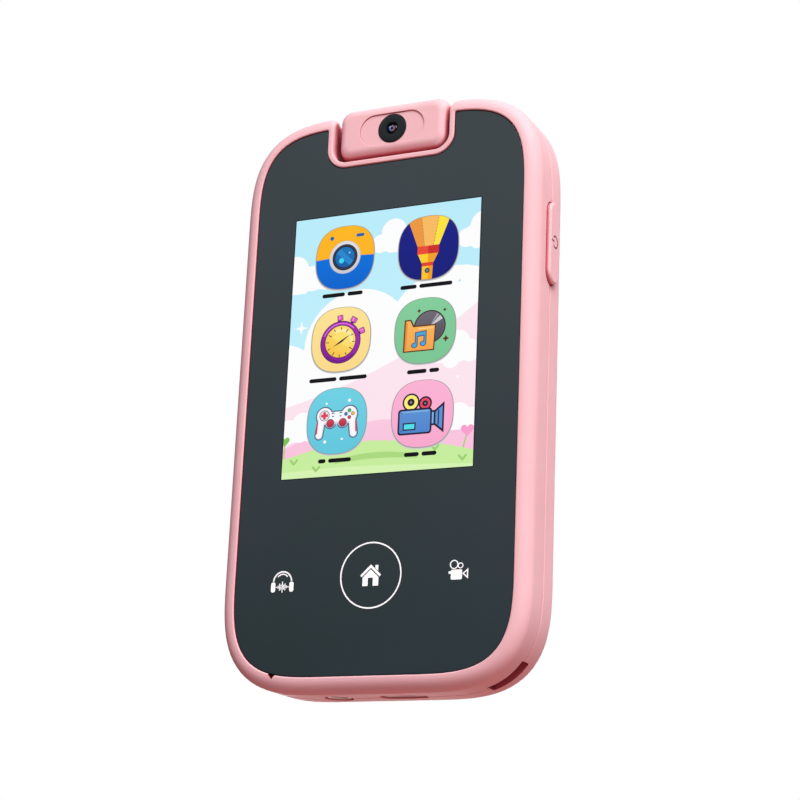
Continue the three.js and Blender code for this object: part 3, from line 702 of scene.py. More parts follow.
def paint_strap_slot_shade(case, material):
    """Paints shade on the walls of the strap slot: they get a darker, redder copy of the pink as a material
    of their own.
    """
    touch = 0.02
    plain = case.data.materials[0]
    case.data.materials.clear()
    for look in (plain, material):
        case.data.materials.append(look)
    for face in case.data.polygons:
        x, y, z = face.center / MM
        across, up = x - STRAP_MIDDLE[0], z - STRAP_MIDDLE[1]
        along = across * math.cos(STRAP_TILT) + up * math.sin(STRAP_TILT)
        inside = up * math.cos(STRAP_TILT) - across * math.sin(STRAP_TILT)
        between = STRAP_FRONT - touch < y < STRAP_BACK + touch
        if between and abs(along) < STRAP_HALF_LENGTH + touch and inside < STRAP_DEPTH + touch:
            face.material_index = 1


def shared_cutters():
    """What is cut from both shells, half of each opening from either."""
    cutters = port_cutters() + pin_cutters(NOTCH_HALF - 1, NOTCH_HALF + PIN_REACH) + strap_cutters()
    return cutters + [button_cutter()]


def strap_corner(low, high):
    """Solid plastic round the strap slot, just inside the case's wall."""
    corner = strap_box(STRAP_BLOCK, BEYOND, STRAP_BLOCK, low, high, WALL / 2)
    return combine(corner, [prism("y", case_outline(MARGIN - WALL / 2), -BEYOND, BEYOND)], "INTERSECT")


def pry_cutter():
    """The small vee at the panel's lower edge, where a tool lifts it."""
    left, right, top = PRY_X - PRY_HALF_WIDTH, PRY_X + PRY_HALF_WIDTH, PRY_EDGE + 0.6
    vee = [(left, PRY_EDGE), (PRY_X, PRY_EDGE - PRY_DEPTH), (right, PRY_EDGE), (right, top), (left, top)]
    return prism("y", vee, FRONT - 1, PRY_BACK)


def side_levels(low, high):
    """Straight stretch of the outer side."""
    return [(y, MARGIN, NOTCH_RELIEF, MOUTH_ROUND) for y in spaced(low, high, OUTER_STEP)]


def inner_levels(start, end):
    """Straight stretch of the hollow's side."""
    return [(y, MARGIN - WALL, NOTCH_RIM, BED_MOUTH) for y in spaced(start, end, INNER_STEP)]


def parting_levels(side):
    """A shell's rounded edge at the parting line: side is -1 for the front shell and 1 for the rear one."""
    levels = []
    for angle in quarter(4)[1:]:
        inset = PARTING_ROUND * (1 - math.cos(angle))
        y = side * (PARTING + PARTING_ROUND * (1 - math.sin(angle)))
        levels.append((y, MARGIN - inset, NOTCH_RELIEF + inset, MOUTH_ROUND))
    return levels


def front_case(material, painted_shade_material):
    """The front shell, from the bed of the panel round the outside to its hollow inside."""
    levels = [(LEDGE_FRONT, HAIRLINE, NOTCH_RIM, BED_MOUTH)]
    for angle in quarter(4):
        inset = LIP_ROUND * (1 - math.cos(angle))
        y = FRONT + LIP_ROUND * (1 - math.sin(angle))
        levels.append((y, HAIRLINE + inset, NOTCH_RIM - inset, BED_MOUTH))
    for angle in quarter(ROUND_STEPS):
        depth = FRONT_ROUND * (1 - math.cos(angle))
        mouth = MOUTH_ROUND_FRONT + (MOUTH_ROUND - MOUTH_ROUND_FRONT) * math.sin(angle)
        levels.append((FRONT + depth, MARGIN - FRONT_ROUND * (1 - math.sin(angle)), notch_edge(depth), mouth))
    levels += side_levels(FRONT + FRONT_ROUND + 0.05, -PARTING_ROUND)
    levels += parting_levels(-1)
    levels += inner_levels(-PARTING, LEDGE_BACK)
    levels += [(y, -LEDGE_INSET, NOTCH_RIM + LEDGE_INSET, INNER_MOUTH) for y in (LEDGE_BACK, LEDGE_FRONT)]
    case = case_loft("front_case", levels, True, material)
    combine(case, [strap_corner(LEDGE_FRONT, -PARTING)], "UNION")
    combine(case, shared_cutters() + [pry_cutter()], "DIFFERENCE")
    paint_strap_slot_shade(case, painted_shade_material)
    return tidy_shading(case)


def screw_places():
    """(x, z) of the four screws, from bottom left to top right."""
    return [(side * SCREW_X, z) for z in SCREW_HEIGHTS for side in (-1, 1)]


def speaker_cutters():
    """Five upright slots that fill a round field."""
    cutters = []
    for aside in (place * SLOT_PITCH for place in range(-2, 3)):
        def outline(grow, aside=aside):
            length = math.sqrt(SPEAKER_REACH**2 - aside**2)
            return stadium(length + grow, SLOT_HALF_WIDTH + grow, (SPEAKER_X + aside, SPEAKER_Z), True)

        cutters.append(flared("y", outline, CEILING - CEILING_OVERLAP, BACK, OPENING_ROUND))
    return cutters


def screw_cutters():
    """A recess for each screw's head, and a hole for its shank."""
    cutters = []
    for place in screw_places():
        def outline(grow, place=place):
            return circle(SCREW_RECESS + grow, place)

        cutters.append(flared("y", outline, SCREW_SEAT, BACK, OPENING_ROUND))
        cutters.append(prism("y", circle(SHANK_HOLE, place, 24), SHANK_FRONT, SHANK_BACK))
    return cutters


def rear_case(material, painted_shade_material):
    """The rear shell, from its hollow inside over the parting edge to the back."""
    levels = [(CEILING, MARGIN - WALL - CEILING_BEVEL, NOTCH_RIM + CEILING_BEVEL, INNER_MOUTH)]
    levels += inner_levels(CEILING - CEILING_BEVEL, PARTING)
    levels += reversed(parting_levels(1))
    levels += side_levels(PARTING_ROUND + PARTING, BACK - REAR_ROUND - 0.05)
    for angle in quarter(ROUND_STEPS):
        depth = REAR_ROUND * (1 - math.sin(angle))
        offset = MARGIN - REAR_ROUND * (1 - math.cos(angle))
        levels.append((BACK - depth, offset, notch_edge(depth), MOUTH_ROUND))
    levels.append((BACK, MARGIN - REAR_ROUND - 0.5, 0.95, 1.2))  # where the flat back starts
    case = case_loft("rear_case", levels, False, material)
    inside = CEILING + CEILING_OVERLAP
    bosses = [prism("y", circle(BOSS_RADIUS, place), BOSS_FRONT, inside) for place in screw_places()]
    combine(case, bosses + [strap_corner(PARTING, inside)], "UNION")
    combine(case, screw_cutters() + speaker_cutters() + shared_cutters(), "DIFFERENCE")
    paint_strap_slot_shade(case, painted_shade_material)
    return tidy_shading(case)


def glass_panel(material):
    """The dark panel, with a fine bevel round its face and its back."""
    places = [(PANEL_FRONT + depth, inset) for depth, inset in PANEL_LEVELS]
    places += [(PANEL_HIGH.y - 0.1, 0), (PANEL_HIGH.y, 0.1)]
    levels = [(y, -inset, NOTCH_RIM + HAIRLINE + inset, BED_MOUTH) for y, inset in places]
    return tidy_shading(case_loft("glass_panel", levels, False, material))


# ---------- camera head ----------


HEAD_HOLLOW = 6.1  # how far the hollow reaches from the parting line
HEAD_CORNER_SHRINK, HEAD_CORNER_LEAST = 0.55, 0.8  # of the corners of smaller outlines
HEAD_PIN_DEPTH = 2.5
LENS_RADIUS, LENS_GAP, LENS_HOLE_BACK = 3.2, 0.1, -5
DISC_FRONT, DISC_BACK = -7.3, -6.2
DOME_RADIUS, DOME_EDGE, DOME_RISE = 1.3, -6.6, 0.62


def head_outline(inset):
    """The head's outline, or a smaller one inside it."""
    radius = max(HEAD_CORNER - inset * HEAD_CORNER_SHRINK, HEAD_CORNER_LEAST)
    low, high = PIVOT_Z - HEAD_HALF_HEIGHT + inset, PIVOT_Z + HEAD_HALF_HEIGHT - inset
    return rounded_box(HEAD_HALF_WIDTH - inset, low, high, radius, 14)


def head_cover(name, side, material):
    """Half of the head: side is -1 for the front and 1 for the rear."""
    levels = [(HEAD_HOLLOW, HEAD_WALL + 1), (HEAD_HOLLOW - 1, HEAD_WALL), (PARTING, HEAD_WALL)]
    levels += [(PARTING, 0.2), (2 * PARTING, 0.04), (0.25, 0)]
    for angle in quarter(ROUND_STEPS):
        levels.append((-HEAD_FRONT - HEAD_ROUND * (1 - math.sin(angle)), HEAD_ROUND * (1 - math.cos(angle))))
    levels.append((-HEAD_FRONT, HEAD_ROUND + 0.35))
    levels = [(side * depth, inset) for depth, inset in levels]
    cover = stack(name, "y", head_outline, levels, material=material)
    holes = pin_cutters(HEAD_HALF_WIDTH - HEAD_PIN_DEPTH, HEAD_HALF_WIDTH + 1)
    return combine(cover, holes, "DIFFERENCE")


def head_front(material):
    """The front cover, with a shallow racetrack recess and the lens's opening in it."""
    def racetrack(grow):
        return stadium(RECESS_HALF_LENGTH + grow, RECESS_HALF_HEIGHT + grow, (0, PIVOT_Z), steps=24)

    def lens_hole(grow):
        return circle(LENS_RADIUS + LENS_GAP + grow, (0, PIVOT_Z), 96)

    cover = head_cover("head_front", -1, material)
    recess_floor = HEAD_FRONT + RECESS_DEPTH
    combine(cover, [flared("y", racetrack, recess_floor, HEAD_FRONT, 0.1)], "DIFFERENCE")
    combine(cover, [flared("y", lens_hole, LENS_HOLE_BACK, recess_floor, 0.08)], "DIFFERENCE")
    return tidy_shading(cover)


def on_lens_axis(across, up, y):
    return across, y, PIVOT_Z + up


def lens_disc(material):
    """The black disc, with a round hole for the glass."""
    outer, hole, front, back = LENS_RADIUS, DOME_RADIUS + 0.06, DISC_FRONT, DISC_BACK
    profile = [(outer, back), (outer, front + 0.12), (outer - 0.04, front + 0.04), (outer - 0.14, front)]
    profile += [(hole + 0.14, front), (hole + 0.06, front + 0.02), (hole + 0.02, front + 0.08)]
    profile += [(hole, front + 0.3), (hole, back)]
    return lathe("lens_disc", profile, on_lens_axis, material, 96, closed=True)


def lens_dome(material):
    """The glass: a shallow dome over a short rim."""
    profile = []
    for angle in np.radians(spaced(2, 90, 5)):
        profile.append((DOME_RADIUS * math.sin(angle), DOME_EDGE - DOME_RISE * math.cos(angle)))
    profile += [(DOME_RADIUS, DOME_EDGE + 0.2), (DOME_RADIUS - 0.1, DOME_EDGE + 0.3)]
    return lathe("lens_dome", profile, on_lens_axis, material, 64)


# ---------- side button, sockets and screws ----------

BUTTON_TOP, BUTTON_ROUND = 35.25, 0.5
BUTTON_FLANGE = (31.6, 32.4)  # inner and outer face of the flange that keeps the button in
POWER_MARK_Z = 93.4
POWER_MARK_RADIUS = 1.25
POWER_MARK_STROKE = 0.19  # half of the groove's width
POWER_MARK_SPAN = 140  # degrees of the ring on either side
POWER_BAR_REACH = 0.75
POWER_MARK_DEPTH = 0.1
POWER_SHADE_DEPTH = 0.03


def band(points, half_width):
    """Outline of a stroke along points."""
    line = np.array(points, float)
    ahead = np.gradient(line, axis=0)
    ahead /= np.linalg.norm(ahead, axis=1)[:, None]
    aside = np.stack([-ahead[:, 1], ahead[:, 0]], 1) * half_width
    return [tuple(p) for p in line + aside] + [tuple(p) for p in (line - aside)[::-1]]


def power_button(material):
    """The cap, with a flange inside the wall and the sign engraved in its top."""
    def outline(inset):
        return stadium(BUTTON_HALF_LENGTH - inset, BUTTON_HALF_WIDTH - inset, (0, BUTTON_Z), True, 14)

    low, high = BUTTON_FLANGE
    levels = [(low, -1.0), (low + 0.1, -1.1), (high - 0.1, -1.1), (high, -1.0), (high, 0)]
    for angle in quarter(8):
        x = BUTTON_TOP - BUTTON_ROUND * (1 - math.sin(angle))
        levels.append((x, BUTTON_ROUND * (1 - math.cos(angle))))
    levels.append((BUTTON_TOP, BUTTON_ROUND + 0.3))
    cap = stack("power_button_cap", "x", outline, levels, material=material)
    floor = BUTTON_TOP - POWER_MARK_DEPTH
    marks = [prism("x", shape, floor, BUTTON_TOP + 1) for shape in power_mark_outlines(0)]
    return tidy_shading(combine(cap, marks, "DIFFERENCE"))


def power_mark_outlines(inset):
    """The sign for on and off: an open ring, and a bar in its opening."""
    half_width = POWER_MARK_STROKE - inset
    line = arc((0, POWER_MARK_Z), POWER_MARK_RADIUS, -POWER_MARK_SPAN, POWER_MARK_SPAN, 40)
    bar = stadium(POWER_BAR_REACH - inset, half_width, (-POWER_MARK_RADIUS, POWER_MARK_Z))
    return band(line, half_width), bar


def power_mark(material):
    """Painted shade: a thin dark red layer along the bottom of the engraved sign, where shade falls in the
    groove.
    """
    floor = BUTTON_TOP - POWER_MARK_DEPTH
    ring, bar = (prism("x", outline, floor, floor + POWER_SHADE_DEPTH) for outline in power_mark_outlines(0.01))
    ring.data.materials.append(material)
    ring.name = "power_mark"
    return tidy_shading(combine(ring, [bar], "UNION"))


def jack_ring(material):
    """The headphone socket's metal sleeve, with a rounded rim."""
    inner, outer, front, back = 1.75, 2.5, 0.2, 1.6  # radii, and depths from the bottom face
    profile = [(inner, back), (inner, front + 0.15), (inner + 0.05, front + 0.04), (inner + 0.15, front)]
    profile += [(outer - 0.15, front), (outer - 0.04, front + 0.04), (outer, front + 0.15), (outer, back)]
    return lathe("jack_ring", profile, lambda a, b, z: (JACK_X + a, b, z), material, 64, closed=True)


def usb_frame(material):
    """The charging socket's sheet metal shell, with a rounded rim."""
    def outline(inset):
        return stadium(half_width - inset, half_depth - inset, (USB_X, 0), steps=10)

    half_width, half_depth = 4.47, 1.63
    front, back, sheet = 0.3, 7.7, 0.35
    levels = [(back, 0), (front + 0.1, 0), (front + 0.03, 0.03), (front, 0.1)]
    levels += [(front, sheet - 0.1), (front + 0.03, sheet - 0.03), (front + 0.1, sheet), (back, sheet)]
    return stack("usb_frame", "z", outline, levels, True, material)


def screw(name, place, material):
    """A pan head with a cross recess, on a plain shank."""
    x, z = place
    tip, seat, top = -3.4, 5.7, 7.1
    profile = [(0.6, tip), (1.0, tip + 0.4), (1.0, seat), (2.2, seat), (2.2, top - 0.6)]
    profile += [(2.12, top - 0.35), (1.9, top - 0.15), (1.5, top - 0.03), (0.8, top)]
    body = lathe(name, profile, lambda a, b, y: (x + a, y, z + b), material, 40)
    slots = []
    for half_x, half_z in ((1.25, 0.26), (0.26, 1.25)):
        def outline(inset, half_x=half_x, half_z=half_z):
            return rectangle(half_x - inset, half_z - inset * 0.3, x, z)

        slots.append(stack("cutter", "y", outline, [(top - 0.85, 0.35), (top + 0.2, 0)]))
    return tidy_shading(combine(body, slots, "DIFFERENCE"))


# ---------- flat artwork: the display's picture and the printed keys ----------

LAYER = 0.002  # thickness of one layer of the picture
CURVE_STEPS = 72
TILE_POWER = 2.5  # how square the icons' tiles are


def clipped(outline, window):
    """The part of an outline inside a convex window that runs anticlockwise."""
    kept = list(outline)
    for start, end in zip(window, window[1:] + window[:1]):
        def inside(point):
            return (end[0] - start[0]) * (point[1] - start[1]) - (end[1] - start[1]) * (point[0] - start[0])

        before, kept = kept, []
        for first, second in zip(before, before[1:] + before[:1]):
            near, far = inside(first), inside(second)
            if near >= 0:
                kept.append(first)
            if near * far < 0:
                share = near / (near - far)
                kept.append(tuple(a + (b - a) * share for a, b in zip(first, second)))
    return kept


class Artwork:
    """Thin flat shapes on the panel's face, gathered into one mesh.

    When it climbs, each shape lies over the last. Otherwise all lie side by side on the panel.
    Colours are display values from 0 to 255."""

    def __init__(self, x, z, thickness=LAYER, scale=1.0, climb=True):
        self.thickness, self.climb = thickness, climb
        self.points, self.faces, self.colours = [], [], []
        self.settle(x, z, 0, scale=scale)

    def settle(self, x, z, level=None, window=None, scale=1.0, turn=0.0):
        """Moves the origin for the next shapes, and says where they start and what they are cut to."""
        self.middle, self.window, self.scale, self.turn = (x, z), window, scale, turn
        if level is not None:
            self.level = PANEL_FRONT - level * LAYER

    def placed(self, outline):
        return moved(outline, *self.middle, self.turn, self.scale)

    def shape(self, outline, colour, lower=None):
        """A filled outline. With a lower colour, it shades from top to bottom."""
        if self.window:
            outline = clipped(outline, self.window)
        if len(outline) < 3:
            return
        count, start = len(outline), len(self.points)
        front = self.level - self.thickness
        for level in (self.level, front):
            self.points += [(x, level, z) for x, z in self.placed(outline)]
        self.faces.append(tuple(range(start, start + count)))
        self.faces.append(tuple(reversed(range(start + count, start + 2 * count))))
        for step in range(count):
            after = (step + 1) % count
            self.faces.append((start + step, start + count + step, start + count + after, start + after))
        upper, lower = linear(*colour), linear(*(lower or colour))
        heights = [z for _, z in outline]
        low, high = min(heights), max(heights)
        self.colours += [blended(lower, upper, (z - low) / (high - low)) for z in heights] * 2
        if self.climb:
            self.level = front

    def hoop(self, outer, inner, colour):
        """A closed band between two outlines of equal length."""
        count, start = len(outer), len(self.points)
        front = self.level - self.thickness
        for outline, level in ((outer, self.level), (outer, front), (inner, front), (inner, self.level)):
            self.points += [(x, level, z) for x, z in self.placed(outline)]
        for ring in range(4):
            near, far = start + ring * count, start + (ring + 1) % 4 * count
            for step in range(count):
                after = (step + 1) % count
                self.faces.append((near + step, near + after, far + after, far + step))
        self.colours += [linear(*colour)] * (4 * count)

    def disc(self, x, z, radius, colour, tall=1.0, lower=None):
        self.shape([(x + a, z + b * tall) for a, b in circle(radius, (0, 0), 40)], colour, lower)

    def box(self, x, z, half_width, half_height, colour, radius=0.1, lower=None, turn=0.0):
        radius = min(radius, half_width, half_height) * 0.999
        outline = rounded_box(half_width, -half_height, half_height, radius, 4)
        self.shape(moved(outline, x, z, turn), colour, lower)

    def stroke(self, points, half_width, colour):
        self.shape(band(points, half_width), colour)

    def capsule(self, start, end, radius, colour, lower=None):
        """A thick line with round ends."""
        angle = math.degrees(math.atan2(end[1] - start[1], end[0] - start[0]))
        outline = arc(end, radius, angle - 90, angle + 90, 12)
        outline += arc(start, radius, angle + 90, angle + 270, 12)
        self.shape(outline, colour, lower)

    def made(self, name, material):
        obj = make_object(name, self.points, self.faces, material)
        face_outwards(obj)
        colours = obj.data.color_attributes.new("picture", "FLOAT_COLOR", "POINT")
        colours.data.foreach_set("color", np.array(self.colours, np.float32).ravel())
        return obj


def blended(first, second, share):
    """What lies a share of the way from the first tuple to the second."""
    return tuple(a + (b - a) * share for a, b in zip(first, second))


def puffs(circles, base=-SCREEN_HALF_HEIGHT):
    """A cloud: the outline round overlapping circles, seen from the first one's middle, with a level base."""
    x, z = circles[0][:2]
    outline = []
    for angle in np.linspace(0, 2 * math.pi, CURVE_STEPS, endpoint=False):
        along, up = math.cos(angle), math.sin(angle)
        reach = 0
        for cx, cz, radius in circles:
            across = (cx - x) * along + (cz - z) * up
            beside = (cx - x) * up - (cz - z) * along
            if abs(beside) < radius:
                reach = max(reach, across + math.sqrt(radius**2 - beside**2))
        outline.append((x + reach * along, z + reach * up))
    return [(a, max(b, base)) for a, b in outline]


def squircle(half_width, half_height):
    """An oval that fills its box more squarely than an ellipse."""
    outline = []
    for angle in np.linspace(0, 2 * math.pi, CURVE_STEPS, endpoint=False):
        along, up = math.cos(angle), math.sin(angle)
        reach = (abs(along) ** TILE_POWER + abs(up) ** TILE_POWER) ** (-1 / TILE_POWER)
        outline.append((along * reach * half_width, up * reach * half_height))
    return outline


def star(radius, waist):
    """A star with four points, and a waist that is a share of its radius."""
    outline = []
    for step in range(8):
        reach = radius if step % 2 == 0 else radius * waist
        angle = math.pi * step / 4
        outline.append((reach * math.cos(angle), reach * math.sin(angle)))
    return outline


def heart(size):
    """A heart of a given half width, its tip down."""
    outline = []
    for angle in np.linspace(0, 2 * math.pi, 32, endpoint=False):
        across = math.sin(angle) ** 3
        up = 13 * math.cos(angle) - 5 * math.cos(2 * angle) - 2 * math.cos(3 * angle) - math.cos(4 * angle)
        outline.append((across * size, up / 16 * size))
    return outline


WHITE = (254, 254, 255)
INK = (12, 11, 16)
OUTLINE = (38, 28, 52)
SKY, SKY_LOW = (186, 237, 252), (200, 242, 253)
FAR_HILL, FAR_HILL_LOW = (253, 232, 241), (254, 226, 238)
NEAR_HILL, NEAR_HILL_LOW = (251, 203, 226), (252, 190, 220)
GRASS, GRASS_BAND, GRASS_LOW = (200, 238, 158), (172, 219, 128), (214, 244, 178)
LEAF, LEAF_HEART = (160, 207, 118), (126, 194, 84)
SKY_CLOUDS = (  # (x, up, radius) of each cloud's circles, and its base
    (((2.6, 21.6, 3.2), (1.9, 23.6, 2.9), (-1.1, 21.2, 2.1), (5, 21, 3)), 18.9),
    (((20.6, 20.6, 2.6), (22.4, 22.8, 3), (18.6, 20.2, 2.1), (22, 19.6, 2.6)), 17.6),
    (((-20.3, 15.4, 3.2), (-21.2, 17.4, 3.2), (-16.8, 15.2, 2.9), (-14, 14.6, 2.3), (-20, 13.6, 2.4)), 11.9),
)
HILL_CLOUD = ((17.3, -4, 2.8), (17.5, -2.4, 2.6), (20.2, -4.4, 2.4), (16, -6, 1.9), (13.4, -4.4, 2.2))
LOW_CLOUDS = (
    (((-18, -18.4, 2.7), (-17.3, -17.2, 2.6), (-20.6, -18.6, 2.6), (-15.6, -19, 2)), -21.4),
    (((18.6, -19, 2.6), (18.2, -17.8, 2.5), (16, -19.2, 2.1), (21, -18.9, 2.4)), -21),
)


def landscape(art):
    """Sky, clouds and hills behind the icons."""
    half_width, half_height = SCREEN_HALF_WIDTH + 0.22, SCREEN_HALF_HEIGHT + 0.22
    art.shape(rounded_box(half_width, -half_height, half_height, 0.1, 2), (14, 16, 18))
    screen = rectangle(SCREEN_HALF_WIDTH, SCREEN_HALF_HEIGHT)
    art.shape(screen, SKY, SKY_LOW)
    art.settle(0, SCREEN_MIDDLE, window=screen)
    for cloud, base in SKY_CLOUDS:
        art.shape(puffs(cloud, base), WHITE)
    art.disc(-5.5, -1, 12.5, WHITE)
    art.disc(16.5, -2, 16.4, WHITE)
    art.disc(-23, -8, 8.7, WHITE)
    art.shape([(-22, -1.5), (-16, -6), (22, -6), (22, -29), (-22, -29)], WHITE)
    start, bend, end = (-22, -13.4), (4, -7.5), (22, 6.2)
    rise = []
    for share in np.linspace(0, 1, 24):
        rise.append(blended(blended(start, bend, share), blended(bend, end, share), share))
    art.shape(rise + [(22, -29), (-22, -29)], FAR_HILL, FAR_HILL_LOW)
    art.shape(puffs(HILL_CLOUD), WHITE)
    art.disc(1, -74.5, 57, NEAR_HILL, lower=NEAR_HILL_LOW)
    for cloud, base in LOW_CLOUDS:
        art.shape(puffs(cloud, base), WHITE)
    art.disc(-1.5, -101.8, 80, GRASS)
    art.shape(arc((0, -63), 38.6, 78, 102, 24) + arc((0, -104), 78.3, 97, 83, 24), GRASS_BAND)
    art.shape([(-22, -27.4), (-8, -27.0), (6, -27.4), (22, -28.2), (22, -29), (-22, -29)], GRASS_LOW)
    for x, z in ((-18.9, -25.2), (19.3, -26.8), (-13.6, -27), (13.2, -24.3)):
        for side in (-1, 1):
            art.capsule((x, z - 0.5), (x + side * 0.75, z + 0.35), 0.24, LEAF)
    art.stroke([(-21.3, -24.4), (-21.2, -21.4)], 0.13, LEAF)
    art.shape(moved(heart(1.15), -21.3, -20.6), LEAF_HEART)
    art.stroke([(19.4, -24.8), (20.1, -22)], 0.14, LEAF)
    art.shape(moved(heart(1.45), 20.2, -21.2), (250, 160, 208))
    art.shape(moved(star(1.6, 0.28), -18.9, 4.1), WHITE)
    art.shape(moved(star(0.4, 0.5), 17.4, 10.9), (190, 225, 246))
    art.disc(17.7, -9.8, 0.3, WHITE)


TILE = (6.8, 7.05)
TILE_RIMS = ((0.26, 0.16, (205, 208, 212)), (0.17, 0.08, (176, 178, 182)), (0.1, 0, (140, 136, 132)))
ICON_LAYERS = 40  # layers kept for the landscape, below the icons


def tile(art, x, up, colour, lower=None):
    """An icon's rounded tile, with a soft shadow and a thin rim. What follows is cut to it."""
    art.settle(x, SCREEN_MIDDLE + up, ICON_LAYERS)
    width, height = TILE
    for grow, drop, shade in TILE_RIMS:
        art.shape(moved(squircle(width + grow, height + grow), 0, -drop), shade)
    art.shape(squircle(width, height), colour, lower)
    art.settle(x, SCREEN_MIDDLE + up, window=squircle(width, height))


def camera_icon(art):
    tile(art, -9.4, 19.1, (255, 184, 30), (255, 176, 22))
    lower_half = [(-7, -0.1), (-3.4, 0.1), (3.4, 0.1), (7, -0.1), (7, -7.2), (-7, -7.2)]
    art.shape(lower_half, (0, 112, 220), (0, 98, 204))
    art.disc(-3.3, 4.6, 0.46, (30, 100, 170))
    art.box(3.4, 4.7, 0.92, 0.36, (30, 100, 170), 0.3)
    art.disc(0, 0, 3.72, (186, 186, 194))
    art.disc(0, 0.04, 3.6, (226, 225, 230), lower=(204, 203, 211))
    art.disc(0, 0, 2.96, (34, 36, 46))
    art.disc(0, 0.1, 2.74, (60, 64, 78))
    art.disc(0, 0.05, 2.5, (22, 26, 38))
    art.disc(0, 0, 2.3, (28, 118, 190), lower=(18, 92, 168))
    art.shape([(-2.0, 1.1), (-1.1, 2.0), (2.0, -1.0), (1.2, -1.95)], (40, 134, 204))
    art.disc(-0.78, -0.72, 0.6, (60, 214, 240))
    art.disc(1.05, 0.95, 0.22, (130, 216, 250))


def flashlight_icon(art):
    tile(art, 10.0, 19.0, (22, 30, 134), (18, 24, 120))
    head = 0.4
    edges = ((-2.5, -5.1), (-0.9, -1.8), (1.15, 2.3), (2.45, 5.1))  # at the lamp, and at the tile's top
    for left, right, shade in zip(edges, edges[1:], ((238, 152, 62), (250, 188, 98), (254, 228, 62))):
        art.shape([(left[0], head), (right[0], head), (right[1], 7.2), (left[1], 7.2)], shade)
    for bottom, top in edges[1:3]:
        for share in np.linspace(0.04, 0.88, 9):
            x, z = bottom + (top - bottom) * share, head + 6.8 * share
            art.box(x, z, 0.07, 0.24, (176, 132, 70), 0.05)
    art.shape([(-2.45, 0.4), (2.45, 0.4), (2.45, -1.4), (-2.45, -1.4)], (236, 74, 50))
    art.shape([(0, 0.4), (2.45, 0.4), (2.45, -1.4), (0, -1.4)], (206, 44, 40))
    art.shape([(-2.3, -1.4), (2.3, -1.4), (1.25, -3.5), (-1.35, -3.5)], (255, 208, 44))
    art.shape([(0, -1.4), (2.3, -1.4), (1.25, -3.5), (0, -3.5)], (244, 162, 34))
    art.shape([(-1.35, -3.3), (1.25, -3.3), (1.2, -4.1), (-1.3, -4.1)], (226, 66, 44))
    art.shape([(-1.28, -4.1), (1.18, -4.1), (1.08, -7.2), (-1.28, -7.2)], (255, 196, 38))
    art.shape([(0.2, -4.1), (1.18, -4.1), (1.08, -7.2), (0.2, -7.2)], (243, 158, 34))
    art.disc(-0.05, -5.1, 0.56, (42, 40, 80))
    art.disc(-0.05, -5.1, 0.3, (90, 150, 150))


def stopwatch_icon(art):
    tile(art, -9.33, 0.76, (254, 228, 150), (252, 220, 138))
    edge, body, shade, knob = (74, 22, 92), (166, 46, 178), (130, 30, 150), (224, 92, 196)
    dial, dial_low, shine, hand = (254, 226, 112), (250, 198, 72), (255, 238, 168), (72, 30, 50)
    art.settle(-9.33, SCREEN_MIDDLE + 0.3, window=None, turn=-32)
    for x, z, turn, half_width in ((0, 4.9, 0, 0.66), (-3.1, 3.8, 38, 0.56), (3.1, 3.8, -38, 0.56)):
        angle = math.radians(turn)
        art.box(x + 0.3 * math.sin(angle), z - 0.3 * math.cos(angle), 0.36, 0.7, edge, 0.1, turn=turn)
        art.box(x, z + 0.42, half_width + 0.12, 0.62, edge, 0.2, turn=turn)
        art.box(x, z + 0.42, half_width, 0.5, knob, 0.14, turn=turn)
        art.box(x - 0.2, z + 0.42, 0.12, 0.4, (250, 156, 220), 0.1, turn=turn)
    art.disc(0, -0.2, 4.72, edge)
    art.disc(0, -0.2, 4.54, body, lower=shade)
    art.stroke(arc((0, -0.2), 4.12, 75, 190, 30), 0.13, (222, 112, 220))
    art.stroke(arc((0, -0.2), 4.2, 255, 350, 24), 0.14, (108, 22, 132))
    art.disc(-0.08, -0.1, 3.66, edge)
    art.disc(-0.08, -0.1, 3.5, dial, lower=dial_low)
    for radius, low, colour in ((3.0, 0.9, shine), (2.3, -0.3, dial)):
        art.shape(clipped(circle(radius, (0, -0.2)), [(-4, low), (4, low), (4, 4), (-4, 4)]), colour)
    for step in range(12):
        angle = math.radians(30 * step)
        near, far = (2.7 if step % 3 else 2.45), 3.3
        points = [(reach * math.cos(angle), -0.2 + reach * math.sin(angle)) for reach in (near, far)]
        art.stroke(points, 0.1, (96, 52, 52))
    art.settle(-9.33, SCREEN_MIDDLE + 0.3)
    art.shape([(-1.85, -1.15), (-0.1, 0.12), (2.2, 1.35), (0.2, -0.28)], hand)
    art.disc(0.05, -0.08, 0.22, hand)


